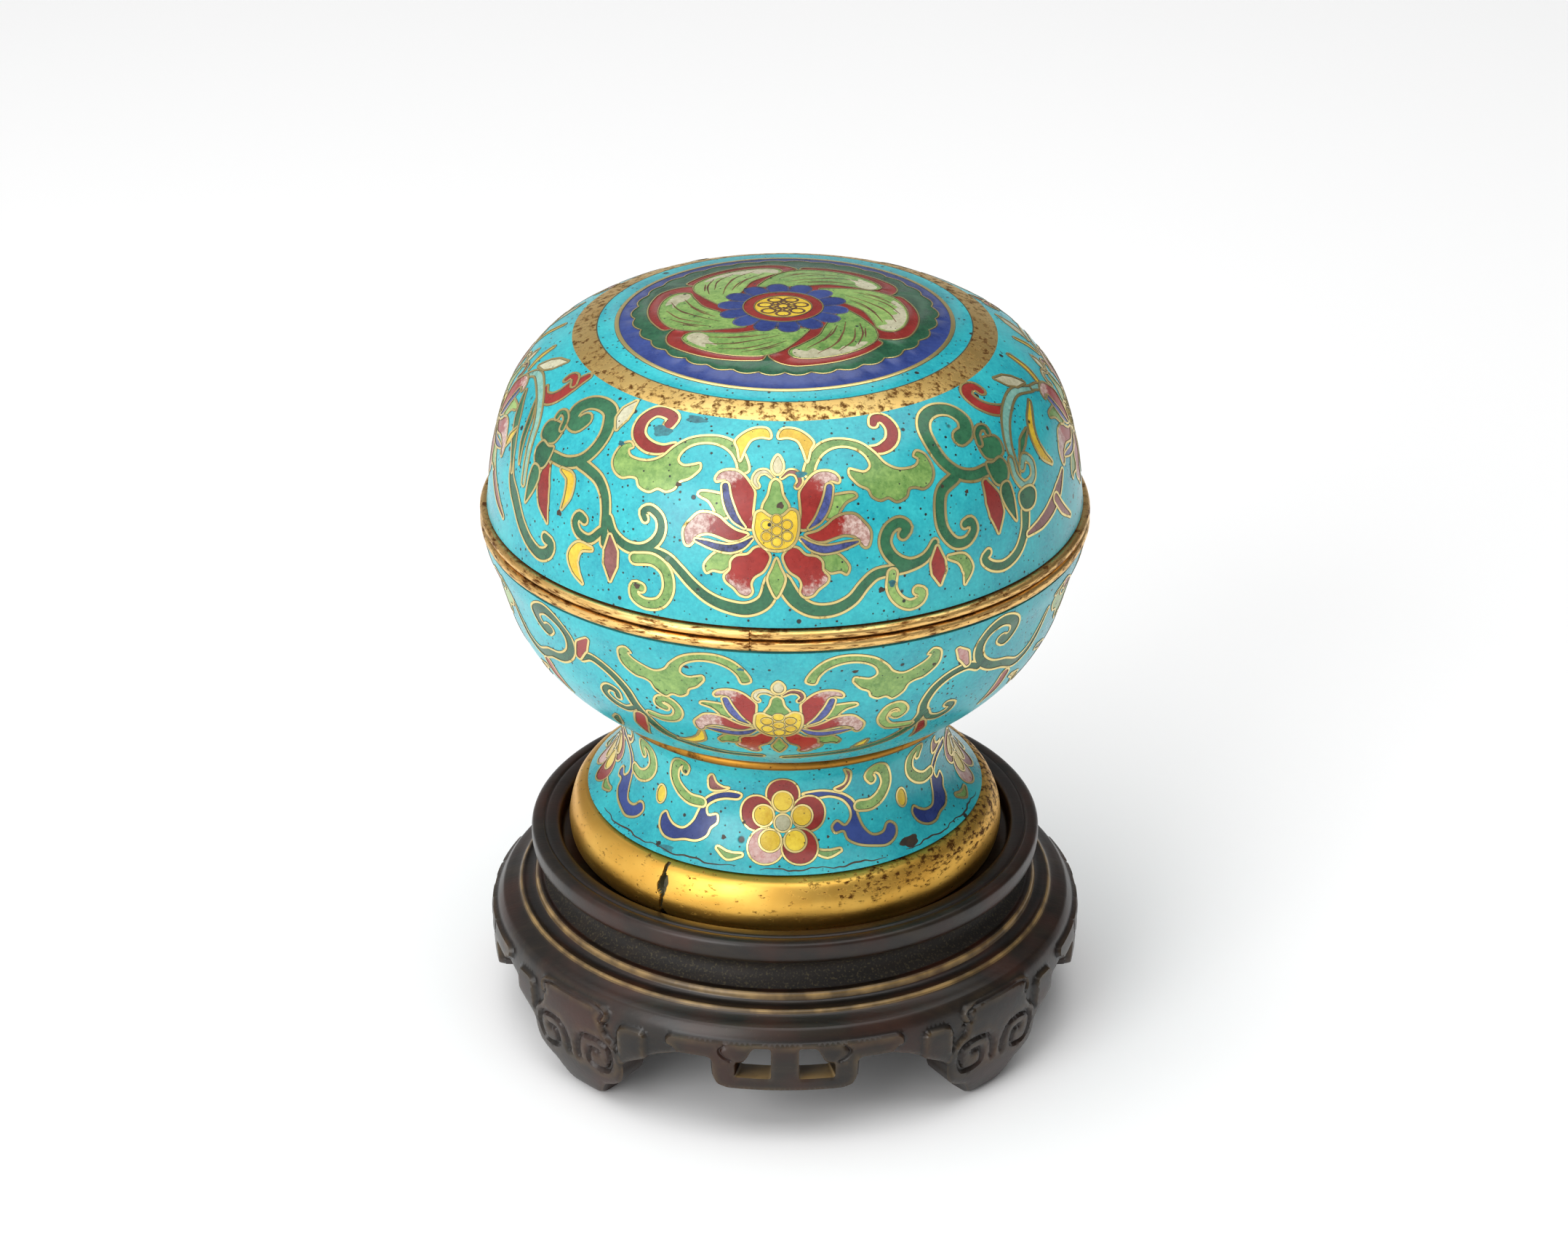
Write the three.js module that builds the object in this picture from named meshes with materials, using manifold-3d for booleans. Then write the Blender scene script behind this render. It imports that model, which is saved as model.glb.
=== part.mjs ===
// A round lidded box of enamelled copper on a flared foot, with gilt rims, on its own carved hardwood stand.
// Millimetres, +Z up from the surface the stand's feet rest on, the box's front towards -Y.
import * as THREE from "three";
import { mergeVertices } from "three/addons/utils/BufferGeometryUtils.js";
import Module from "manifold-3d";

const wasm = await Module();
wasm.setup();

const roundSegments = 40; // facets round every turned piece, a multiple of four for the stand
const wall = 2.0; // enamelled copper
const gap = 0.3; // between pieces that touch

// The lid's outside, from the crown down to its gilt rim
const lidOutside = [
  [0, 126.45],
  [14, 125.85],
  [27.1, 123.8],
  [30.6, 123.2],
  [34.1, 121.9],
  [40, 118.1],
  [44.5, 112.25],
  [47.3, 103.4],
  [48.6, 93.7],
];
const lidRimTop = 93.7 - gap;
const lidRimFoot = 91.9;
const rimRadius = 49.75; // outermost line of both rim beads
const rimInside = 46.8;

// The bowl, its neck wire and its flared foot
const bowlOutside = [
  [49.3, 89.6],
  [47.6, 84.3],
  [44.5, 74.65],
  [40.5, 68.3],
  [35, 63],
  [30.3, 60.05],
];
const neckWireRadius = 0.9;
const neckWireCentre = [29.25, 59.1];
const footOutside = [
  [28.4, 58.1],
  [27.1, 53],
  [27.9, 47.8],
  [30.2, 43.6],
  [33.2, 40.9],
];
const bowlFloorRadius = 24.6;
const bowlFloorHeight = 53; // underside of the bowl's floor on the axis
const bowlRimTop = 91.6;
const bowlRimFoot = 89.9;
const flangeOutside = 45.8; // upright lip of the bowl's rim that stands inside the lid
const flangeInside = 44.6;
const flangeTop = 96.2;

// The foot's gilt ring
const footRingTop = 40.9 - gap;
const footRingFoot = 31;
const footRingRadius = 36.5;
const footRingInside = 31.6;
const ringJointAzimuth = -33.7; // degrees from the front, positive towards +X
const ringJointWidth = 0.6;
const ringPitSize = [1.7, 3.4]; // wider pit in the joint, across and up
const ringPitHeight = 37.2;

// The stand
const recessRadius = 38;
const recessFloor = footRingFoot - gap;
const collarTop = 33.7;
const collarRadius = 42.9;
const coveRadius = 38.9;
const boardUnderside = 18.3;
const apronRadius = 49.4;
const reliefHeight = 0.7;
const quadrants = 4;

const tabFoot = 9.8; // lower edge of the drop in the middle of each side
const tabHalfAngle = 14.2;
const windowFoot = 12.4;
const windowTop = 18;
const windowNear = 2.2; // from the side's middle line
const windowFar = 8;
const windowHook = 1.3; // curl left in the window's upper outer corner
const footAngle = 45;
const surfaceRadius = 48.4; // where angles are turned into lengths across the apron

const enamel = new THREE.MeshStandardMaterial({ color: 0x35b7c6, roughness: 0.3, metalness: 0 });
const gilt = new THREE.MeshStandardMaterial({ color: 0xd2a24a, roughness: 0.35, metalness: 1 });
const hardwood = new THREE.MeshStandardMaterial({ color: 0x3a2a26, roughness: 0.45, metalness: 0 });

function solidOf(geometry) {
  const bare = geometry.index ? geometry.toNonIndexed() : geometry.clone();
  bare.deleteAttribute("normal");
  bare.deleteAttribute("uv");
  const merged = mergeVertices(bare, 1e-3);
  const corners = merged.index.array;
  const kept = [];
  for (let i = 0; i < corners.length; i += 3) {
    const [a, b, c] = corners.slice(i, i + 3);
    if (a !== b && b !== c && a !== c) kept.push(a, b, c);
  }
  return new wasm.Manifold(
    new wasm.Mesh({
      numProp: 3,
      vertProperties: new Float32Array(merged.attributes.position.array),
      triVerts: new Uint32Array(kept),
    }),
  );
}

function meshOf(solid, name, material) {
  const mesh = solid.getMesh();
  const geometry = new THREE.BufferGeometry();
  geometry.setAttribute("position", new THREE.BufferAttribute(new Float32Array(mesh.vertProperties), 3));
  geometry.setIndex(new THREE.BufferAttribute(new Uint32Array(mesh.triVerts), 1));
  const flat = geometry.toNonIndexed();
  flat.computeVertexNormals();
  const made = new THREE.Mesh(flat, material);
  made.name = name;
  return made;
}

// Turns a profile of [radius, height] pairs that runs anticlockwise seen with the axis at its left
function turned(profile) {
  const points = profile.map(([r, z]) => new THREE.Vector2(r, z));
  const onAxis = profile[0][0] === 0 && profile.at(-1)[0] === 0;
  if (!onAxis) points.push(points[0].clone());
  return solidOf(new THREE.LatheGeometry(points, roundSegments).rotateX(Math.PI / 2));
}

// A profile moved inwards by the wall, point by point along the normals of its corners
function insetProfile(profile, distance) {
  return profile.map(([r, z], i) => {
    const before = profile[Math.max(i - 1, 0)];
    const after = profile[Math.min(i + 1, profile.length - 1)];
    const length = Math.hypot(after[0] - before[0], after[1] - before[1]);
    const normal = [(before[1] - after[1]) / length, (after[0] - before[0]) / length];
    return [Math.max(r - normal[0] * distance, 0), z - normal[1] * distance];
  });
}

// A flat outline, in mm across and up, pushed outwards from the axis at an azimuth in degrees
function radialPrism(outline, azimuth, near = 30, far = 60) {
  const shape = new THREE.Shape(outline.map(([x, z]) => new THREE.Vector2(x, z)));
  const geometry = new THREE.ExtrudeGeometry(shape, { depth: far - near, bevelEnabled: false });
  geometry.rotateX(Math.PI / 2);
  geometry.translate(0, -near, 0);
  geometry.rotateZ(THREE.MathUtils.degToRad(azimuth));
  return solidOf(geometry);
}

const union = (solids) => solids.reduce((all, solid) => all.add(solid));
const across = (degrees) => surfaceRadius * Math.sin(THREE.MathUtils.degToRad(degrees));
const mirrored = (outline) => outline.map(([x, z]) => [-x, z]).reverse();
const closedBySymmetry = (half) => [...half, ...mirrored(half)];

// ---- lid: a hollow dome
const lidInside = insetProfile(lidOutside, wall);
lidInside[0] = [0, lidOutside[0][1] - wall];
lidInside[lidInside.length - 1] = [lidOutside.at(-1)[0] - wall, lidOutside.at(-1)[1]];
const lid = turned([...lidInside, ...lidOutside.slice().reverse()]);

const rimCrown = 0.25; // how far a bead's edges fall back from its outermost line
function bead(inside, foot, top) {
  const middle = (foot + top) / 2;
  return [
    [inside, foot],
    [rimRadius - 3 * rimCrown, foot],
    [rimRadius - rimCrown, foot + rimCrown],
    [rimRadius, middle],
    [rimRadius - rimCrown, top - rimCrown],
    [rimRadius - 3 * rimCrown, top],
  ];
}
const lidRim = turned([...bead(rimInside, lidRimFoot, lidRimTop), [rimInside, lidRimTop]]);

// ---- bowl: hollow above its floor and hollow again inside the foot
const wireSteps = 2;
const neckWire = [];
for (let i = 0; i <= wireSteps; i += 1) {
  const turn = THREE.MathUtils.degToRad(70 - (140 * i) / wireSteps);
  const [r, z] = neckWireCentre;
  neckWire.push([r + neckWireRadius * Math.cos(turn), z + neckWireRadius * Math.sin(turn)]);
}
const footInside = insetProfile(footOutside, wall);
footInside[footInside.length - 1] = [footOutside.at(-1)[0] - wall, footOutside.at(-1)[1]];
footInside[0] = [bowlFloorRadius, bowlFloorHeight + 4.2];
const bowlInside = insetProfile(bowlOutside, wall);
bowlInside[0] = [bowlOutside[0][0] - wall - 0.1, bowlOutside[0][1]];
const bowlFloorInside = [
  [18, bowlFloorHeight + wall + 1.6],
  [0, bowlFloorHeight + wall],
];
const bowlFloorOutside = [
  [0, bowlFloorHeight],
  [17, bowlFloorHeight + 1.4],
];
const bowl = turned([
  ...bowlFloorOutside,
  ...footInside,
  ...footOutside.slice().reverse(),
  ...neckWire.slice().reverse(),
  ...bowlOutside.slice().reverse(),
  ...bowlInside,
  ...bowlFloorInside,
]);

const bowlRim = turned([
  ...bead(flangeInside, bowlRimFoot, bowlRimTop),
  [flangeOutside, bowlRimTop],
  [flangeOutside, flangeTop - 0.4],
  [flangeOutside - 0.4, flangeTop],
  [flangeInside, flangeTop],
]);

// ---- foot ring: a bent strip of gilt bronze whose butt joint has opened
const ringBulge = footRingRadius - 33.8;
const footRingWhole = turned([
  [footRingInside, footRingFoot],
  [footRingRadius - 0.35 * ringBulge, footRingFoot],
  [footRingRadius - 0.08 * ringBulge, footRingFoot + 1.8],
  [footRingRadius, footRingFoot + 3.9],
  [footRingRadius - 0.18 * ringBulge, footRingFoot + 6.4],
  [footRingRadius - 0.5 * ringBulge, footRingFoot + 8.4],
  [33.8, footRingTop],
  [footRingInside, footRingTop],
]);
const jointOutline = [
  [-ringJointWidth / 2, footRingFoot - 1],
  [ringJointWidth / 2, footRingFoot - 1],
  [ringJointWidth / 2, footRingTop + 1],
  [-ringJointWidth / 2, footRingTop + 1],
];
const pitOutline = [];
const pitCorners = 8;
for (let i = 0; i < pitCorners; i += 1) {
  const turn = (i / pitCorners) * 2 * Math.PI;
  pitOutline.push([
    (ringPitSize[0] / 2) * Math.cos(turn),
    ringPitHeight + (ringPitSize[1] / 2) * Math.sin(turn),
  ]);
}
const footRing = footRingWhole
  .subtract(radialPrism(jointOutline, ringJointAzimuth, footRingRadius - 0.9))
  .subtract(radialPrism(pitOutline, ringJointAzimuth, footRingRadius - 1.6));

// ---- stand: a turned board and collar with a pierced, carved apron
const apronOutside = [
  [apronRadius - 1.6, 20.6],
  [apronRadius - 0.1, 17.4],
  [apronRadius - 0.4, 11.5],
  [apronRadius - 3, 0],
];
const standTop = [
  [collarRadius, 32.8],
  [collarRadius - 0.2, 31.4],
  [coveRadius + 1.2, 29.8],
  [coveRadius, 27],
  [coveRadius + 0.9, 24.8],
  [42, 23.8],
  [42.9, 22.8],
  [44.8, 22.3],
  [45.6, 21.4],
];
const standBody = turned([
  [0, boardUnderside],
  [44.4, boardUnderside],
  [42.2, 0],
  ...apronOutside.slice().reverse(),
  ...standTop.slice().reverse(),
  [collarRadius - 0.9, collarTop],
  [recessRadius + 0.3, collarTop],
  [recessRadius - 0.2, recessFloor],
  [0, recessFloor],
]);

// Where the carving stands proud: the apron's own curve, moved out by the relief
const reliefShell = turned([
  [apronRadius - 5.4, 0],
  ...apronOutside.slice().reverse().map(([r, z]) => [r + reliefHeight, z]),
  [apronRadius - 2.9, 20.6],
]);

const barTop = 18.9;
const barFoot = 15.5;
const tabHalf = closedBySymmetry([
  [0, tabFoot],
  [across(11.2), tabFoot],
  [across(13.4), tabFoot + 0.7],
  [across(tabHalfAngle), tabFoot + 2.4],
  [across(tabHalfAngle), barFoot],
  [across(18.6), barFoot],
  [across(21.4), barFoot - 0.1],
  [across(22.1), barFoot + 0.9],
  [across(23.6), barFoot + 1.1],
  [across(23.7), barTop - 1],
  [across(22.6), barTop],
  [0, barTop],
]);
const bossOutline = [
  [-2.9, 10],
  [2.9, 10],
  [2.9, 16.6],
  [1.9, 17.9],
  [-1.9, 17.9],
  [-2.9, 16.6],
];
const bossAngle = 30.3;
const footField = closedBySymmetry([
  [0, 4.2],
  [5.5, 4.4],
  [8.6, 5.3],
  [10.2, 7.2],
  [10.4, 10.6],
  [9.4, 13.4],
  [7.2, 15],
  [6.6, 16.4],
  [7.9, 17.4],
  [7.9, 19],
  [6.9, 19.9],
  [0, 19.9],
]);

// A volute's groove: a squared spiral line turned into a band of even width
const grooveWidth = 0.9;
const voluteAcross = 5.6; // from the foot's middle line
const voluteHeight = 9.9;
function voluteGroove(centreAcross, centreUp, side) {
  const turns = 1.45;
  const steps = 10;
  const outerReach = 3.7;
  const innerReach = 1.1;
  const line = [];
  for (let i = 0; i <= steps; i += 1) {
    const share = i / steps;
    const angle = Math.PI * (1.12 - 2 * turns * share);
    const reach = outerReach + (innerReach - outerReach) * share;
    const squareness = 1 / Math.max(Math.abs(Math.cos(angle)), Math.abs(Math.sin(angle))) ** 0.45;
    line.push([
      centreAcross + side * reach * squareness * Math.cos(angle),
      centreUp + reach * squareness * Math.sin(angle),
    ]);
  }
  return bandAlong(line, grooveWidth);
}

function bandAlong(line, width) {
  const left = [];
  const right = [];
  line.forEach(([x, z], i) => {
    const before = line[Math.max(i - 1, 0)];
    const after = line[Math.min(i + 1, line.length - 1)];
    const length = Math.hypot(after[0] - before[0], after[1] - before[1]);
    const offset = [
      (-(after[1] - before[1]) / length) * (width / 2),
      ((after[0] - before[0]) / length) * (width / 2),
    ];
    left.push([x + offset[0], z + offset[1]]);
    right.push([x - offset[0], z - offset[1]]);
  });
  return [...left, ...right.reverse()];
}

const raised = [];
const sunk = [];
const cuts = [];
const underTab = closedBySymmetry([
  [0, -1],
  [across(tabHalfAngle), -1],
  [across(tabHalfAngle), tabFoot + 2.4],
  [across(13.4), tabFoot + 0.7],
  [across(11.2), tabFoot],
  [0, tabFoot],
]);
const windowOutline = [
  [windowNear, windowFoot],
  [windowFar, windowFoot],
  [windowFar, windowTop - 1.9 * windowHook],
  [windowFar - 0.6 * windowHook, windowTop - 1.6 * windowHook],
  [windowFar - 1.3 * windowHook, windowTop],
  [windowNear, windowTop],
];
// The arch between a drop and a foot, as degrees from the side's middle and heights
const archCentre = 27.5;
const archPoints = [
  [tabHalfAngle - 0.4, -1],
  [tabHalfAngle, tabFoot],
  [tabHalfAngle, barFoot - 0.5],
  [tabHalfAngle + 0.6, barFoot],
  [20, barFoot - 0.1],
  [24.5, 14.2],
  [28, 12.6],
  [31, 11.3],
  [32.6, 10.4],
  [32.7, 8],
  [33.6, 6],
  [35.6, 4.9],
  [38.2, 4],
  [39.6, 2.2],
  [40.8, 0.6],
  [41.6, 0.01],
  [41.6, -1],
];
const archOutline = archPoints.map(([angle, z]) => [across(angle - archCentre), z]);
for (let k = 0; k < quadrants; k += 1) {
  const middle = 90 * k;
  raised.push(radialPrism(tabHalf, middle));
  raised.push(radialPrism(footField, middle + footAngle));
  cuts.push(radialPrism(underTab, middle));
  for (const side of [-1, 1]) {
    raised.push(radialPrism(bossOutline, middle + side * bossAngle));
    sunk.push(radialPrism(voluteGroove(side * voluteAcross, voluteHeight, side), middle + footAngle));
    cuts.push(radialPrism(side > 0 ? windowOutline : mirrored(windowOutline), middle));
    cuts.push(radialPrism(side > 0 ? archOutline : mirrored(archOutline), middle + side * archCentre));
  }
}
const relief = reliefShell.intersect(union(raised).subtract(union(sunk)));
const stand = standBody.add(relief).subtract(union(cuts));

const box = new THREE.Group();
box.add(
  meshOf(lid, "lid", enamel),
  meshOf(lidRim, "lid_rim", gilt),
  meshOf(bowl, "bowl", enamel),
  meshOf(bowlRim, "bowl_rim", gilt),
  meshOf(footRing, "foot_ring", gilt),
  meshOf(stand, "stand", hardwood),
);
export default box;
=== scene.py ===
import math

import bmesh
import bpy
import numpy as np
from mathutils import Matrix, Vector
from mathutils.geometry import delaunay_2d_cdt


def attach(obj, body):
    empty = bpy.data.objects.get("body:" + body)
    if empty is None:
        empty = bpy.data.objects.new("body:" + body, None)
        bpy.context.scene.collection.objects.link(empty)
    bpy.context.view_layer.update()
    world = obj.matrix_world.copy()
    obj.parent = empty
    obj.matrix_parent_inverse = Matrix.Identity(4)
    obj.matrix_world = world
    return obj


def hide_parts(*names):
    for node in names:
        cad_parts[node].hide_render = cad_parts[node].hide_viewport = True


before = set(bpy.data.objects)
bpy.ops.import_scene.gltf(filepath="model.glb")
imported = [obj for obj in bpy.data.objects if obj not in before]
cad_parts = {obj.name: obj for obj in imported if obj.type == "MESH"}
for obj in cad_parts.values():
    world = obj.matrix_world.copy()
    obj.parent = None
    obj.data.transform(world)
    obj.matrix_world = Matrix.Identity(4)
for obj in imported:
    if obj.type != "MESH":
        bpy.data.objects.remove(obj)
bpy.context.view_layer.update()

mm = 0.001
rng = np.random.default_rng(11)


# colours and nodes: a link is (node, output)

def linear(hexColour):
    # sRGB hex to linear rgba
    parts = [int(hexColour[i:i + 2], 16) / 255 for i in (1, 3, 5)]
    return tuple(c / 12.92 if c <= 0.04045 else ((c + 0.055) / 1.055) ** 2.4 for c in parts) + (1.0,)


def newMaterial(name):
    material = bpy.data.materials.new(name)
    material.use_nodes = True
    material.node_tree.nodes.clear()
    return material


def addNode(material, kind, settings=None, links=None):
    # each socket takes a link or a plain value
    node = material.node_tree.nodes.new("ShaderNode" + kind)
    for key, value in (settings or {}).items():
        setattr(node, key, value)
    for key, source in (links or {}).items():
        if isinstance(source, tuple) and isinstance(source[0], bpy.types.Node):
            material.node_tree.links.new(source[0].outputs[source[1]], node.inputs[key])
        else:
            node.inputs[key].default_value = source
    return node


def objectSpot(material):
    return addNode(material, "TexCoord"), "Object"


def attribute(material, name):
    return addNode(material, "Attribute", {"attribute_name": name}), "Fac"


def noise(material, spot, size, detail=2.0, rough=0.5, distortion=0.0):
    # soft noise with clouds about `size` mm across
    return addNode(material, "TexNoise", None, {"Vector": spot, "Scale": 1 / (size * mm), "Detail": detail,
                                                "Roughness": rough, "Distortion": distortion}), "Fac"


def maths(material, operation, *values):
    return addNode(material, "Math", {"operation": operation}, dict(enumerate(values))), 0


def remap(material, value, low=0.0, high=1.0, toLow=0.0, toHigh=1.0, smooth=False):
    return addNode(material, "MapRange", {"interpolation_type": "SMOOTHSTEP" if smooth else "LINEAR"},
                   {"Value": value, "From Min": low, "From Max": high, "To Min": toLow, "To Max": toHigh}), 0


def blend(material, share, under, over):
    # colours are hex or links
    under, over = (linear(c) if isinstance(c, str) else c for c in (under, over))
    return addNode(material, "Mix", {"data_type": "RGBA"}, {0: share, 6: under, 7: over}), 2


def pitMask(material, spot, spacing, whole, radius, soft):
    # round pits strewn in cells `spacing` mm wide: a share `whole` of the cells has none, and the
    # largest radius is in cells
    cells = addNode(material, "TexVoronoi", None, {"Vector": spot, "Scale": 1 / (spacing * mm)})
    chance = addNode(material, "SeparateColor", None, {"Color": (cells, "Color")})
    size = remap(material, (chance, "Red"), whole, 1.0, 0.0, radius)
    return remap(material, maths(material, "SUBTRACT", size, (cells, "Distance")), -soft, 0.03)


def finishMaterial(material, colour, roughness, height, strength, depth, extra=None):
    # strength and depth, in mm, are those of the bump that height gives
    bump = addNode(material, "Bump", None, {"Height": height, "Strength": strength, "Distance": depth * mm})
    shader = addNode(material, "BsdfPrincipled", None,
                     {"Base Color": colour, "Roughness": roughness, "Normal": (bump, 0), **(extra or {})})
    addNode(material, "OutputMaterial", None, {"Surface": (shader, "BSDF")})
    return material


# curves and turned profiles

def curveThrough(points, spacing=0.4, closed=False):
    # centripetal spline through the points, sampled about every `spacing`
    p = np.array(points, float)
    if closed:
        p = np.vstack([p[-1], p, p[:2]])
    else:
        p = np.vstack([2 * p[0] - p[1], p, 2 * p[-1] - p[-2]])
    out = []
    for p0, p1, p2, p3 in zip(p, p[1:], p[2:], p[3:]):
        t1 = max(np.linalg.norm(p1 - p0), 1e-6) ** 0.5
        t2 = t1 + max(np.linalg.norm(p2 - p1), 1e-6) ** 0.5
        t3 = t2 + max(np.linalg.norm(p3 - p2), 1e-6) ** 0.5
        steps = max(2, int(math.ceil(np.linalg.norm(p2 - p1) / spacing)))
        t = np.linspace(t1, t2, steps, endpoint=False)[:, None]

        def between(a, b, start, end):
            return (end - t) / (end - start) * a + (t - start) / (end - start) * b

        middle = between(p1, p2, t1, t2)
        first = between(between(p0, p1, 0, t1), middle, 0, t2)
        second = between(middle, between(p2, p3, t2, t3), t1, t3)
        out.append(between(first, second, t1, t2))
    return np.concatenate(out if closed else out + [p[-2:-1]])


def makeProfile(points, spacing=0.3):
    # a turned profile from its top edge down: radius, height and outward normal by length along it
    line = curveThrough(points, spacing)
    run = np.concatenate([[0], np.cumsum(np.hypot(*np.diff(line, axis=0).T))])
    slope = np.gradient(line, run, axis=0)
    return {"run": run, "line": line, "normal": np.stack([-slope[:, 1], slope[:, 0]], 1), "length": run[-1]}


def alongProfile(profile, v):
    v = np.clip(v, 0, profile["length"])
    return [np.interp(v, profile["run"], column) for column in (*profile["line"].T, *profile["normal"].T)]


# Ornament is drawn flat: a drawing holds closed outlines in painter's order. x is mm round the
# piece at its reference radius, y is mm down its profile, and stretch(y) is how much narrower
# a mm of x is there. Ridges only add edges to the mesh.

wireWidth = 0.38
wireLift = 0.09
dirtWidth = 0.07


def newDrawing(stretch=np.ones_like):
    return {"faces": [], "ridges": [], "stretch": stretch}


def drawingOn(profile, reference):
    return newDrawing(lambda y: np.interp(y, profile["run"], profile["line"][:, 0]) / reference)


def offsetOutline(drawing, outline, distance):
    s = drawing["stretch"](outline[:, 1])
    along = np.roll(outline, -1, 0) - np.roll(outline, 1, 0)
    along[:, 0] *= s
    along /= np.maximum(np.hypot(*along.T), 1e-9)[:, None]
    return np.stack([outline[:, 0] + along[:, 1] * distance / s, outline[:, 1] - along[:, 0] * distance], 1)


def counterClockwise(outline):
    x, y = outline.T
    return outline if np.sum(x * np.roll(y, -1) - np.roll(x, -1) * y) > 0 else outline[::-1]


def bandOutline(drawing, line, widths):
    # closed outline with round ends about a centre line; the width runs through `widths` along it
    path = curveThrough(line, 0.42)
    share = np.linspace(0, 1, len(path))
    half = np.interp(share, np.linspace(0, 1, len(widths)), widths)[:, None] / 2
    s = drawing["stretch"](path[:, 1])[:, None]
    along = np.gradient(path, axis=0)
    along[:, :1] *= s
    along /= np.maximum(np.linalg.norm(along, axis=1), 1e-9)[:, None]
    side = np.stack([along[:, 1], -along[:, 0]], 1)
    scale = np.concatenate([1 / s, np.ones_like(s)], 1)
    turns = np.radians([60, 30, 0, -30, -60])[:, None]
    caps = [path[end] + (np.cos(turns) * along[end] * sign + np.sin(turns) * side[end] * sign)
            * half[end] * scale[end] for end, sign in ((-1, 1), (0, -1))]
    return np.concatenate([path + side * half * scale, caps[0], (path - side * half * scale)[::-1], caps[1]])


def ellipse(x, y, wide, tall, count=28):
    turns = np.linspace(0, 2 * math.pi, count, endpoint=False)
    return np.stack([x + wide * np.cos(turns), y + tall * np.sin(turns)], 1)


def drawCells(drawing, outlines, cell, tone=None, wire=wireWidth, line="wire"):
    # one colour's outlines together, so that cells of one colour that meet run into each other;
    # round each cell runs its wire, with a thin dark line at either side where dirt has settled
    rings = [counterClockwise(np.asarray(o, float)) for o in outlines]
    tint = rng.random()
    layers = [(0, cell)]
    if wire:
        layers = [(wire / 2 + dirtWidth, "dirt"), (wire / 2, line), (-wire / 2, "dirt"),
                  (-wire / 2 - dirtWidth, cell)]
    for distance, name in layers:
        nameTone = tone if name == cell else None
        drawing["faces"] += [(offsetOutline(drawing, ring, distance), name, nameTone, tint) for ring in rings]


def moved(points, dx=0.0, dy=0.0, sx=1.0, sy=1.0):
    return np.asarray(points, float) * (sx, sy) + (dx, dy)


def timesRound(ring, points):
    # how often the outline runs counter-clockwise round each point
    x, y = points[:, :1], points[:, 1:]
    ax, ay = ring.T
    bx, by = np.roll(ring, -1, 0).T
    side = (bx - ax) * (y - ay) - (x - ax) * (by - ay)
    return ((ay <= y) & (by > y) & (side > 0)).sum(1) - ((ay > y) & (by <= y) & (side < 0)).sum(1)


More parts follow.
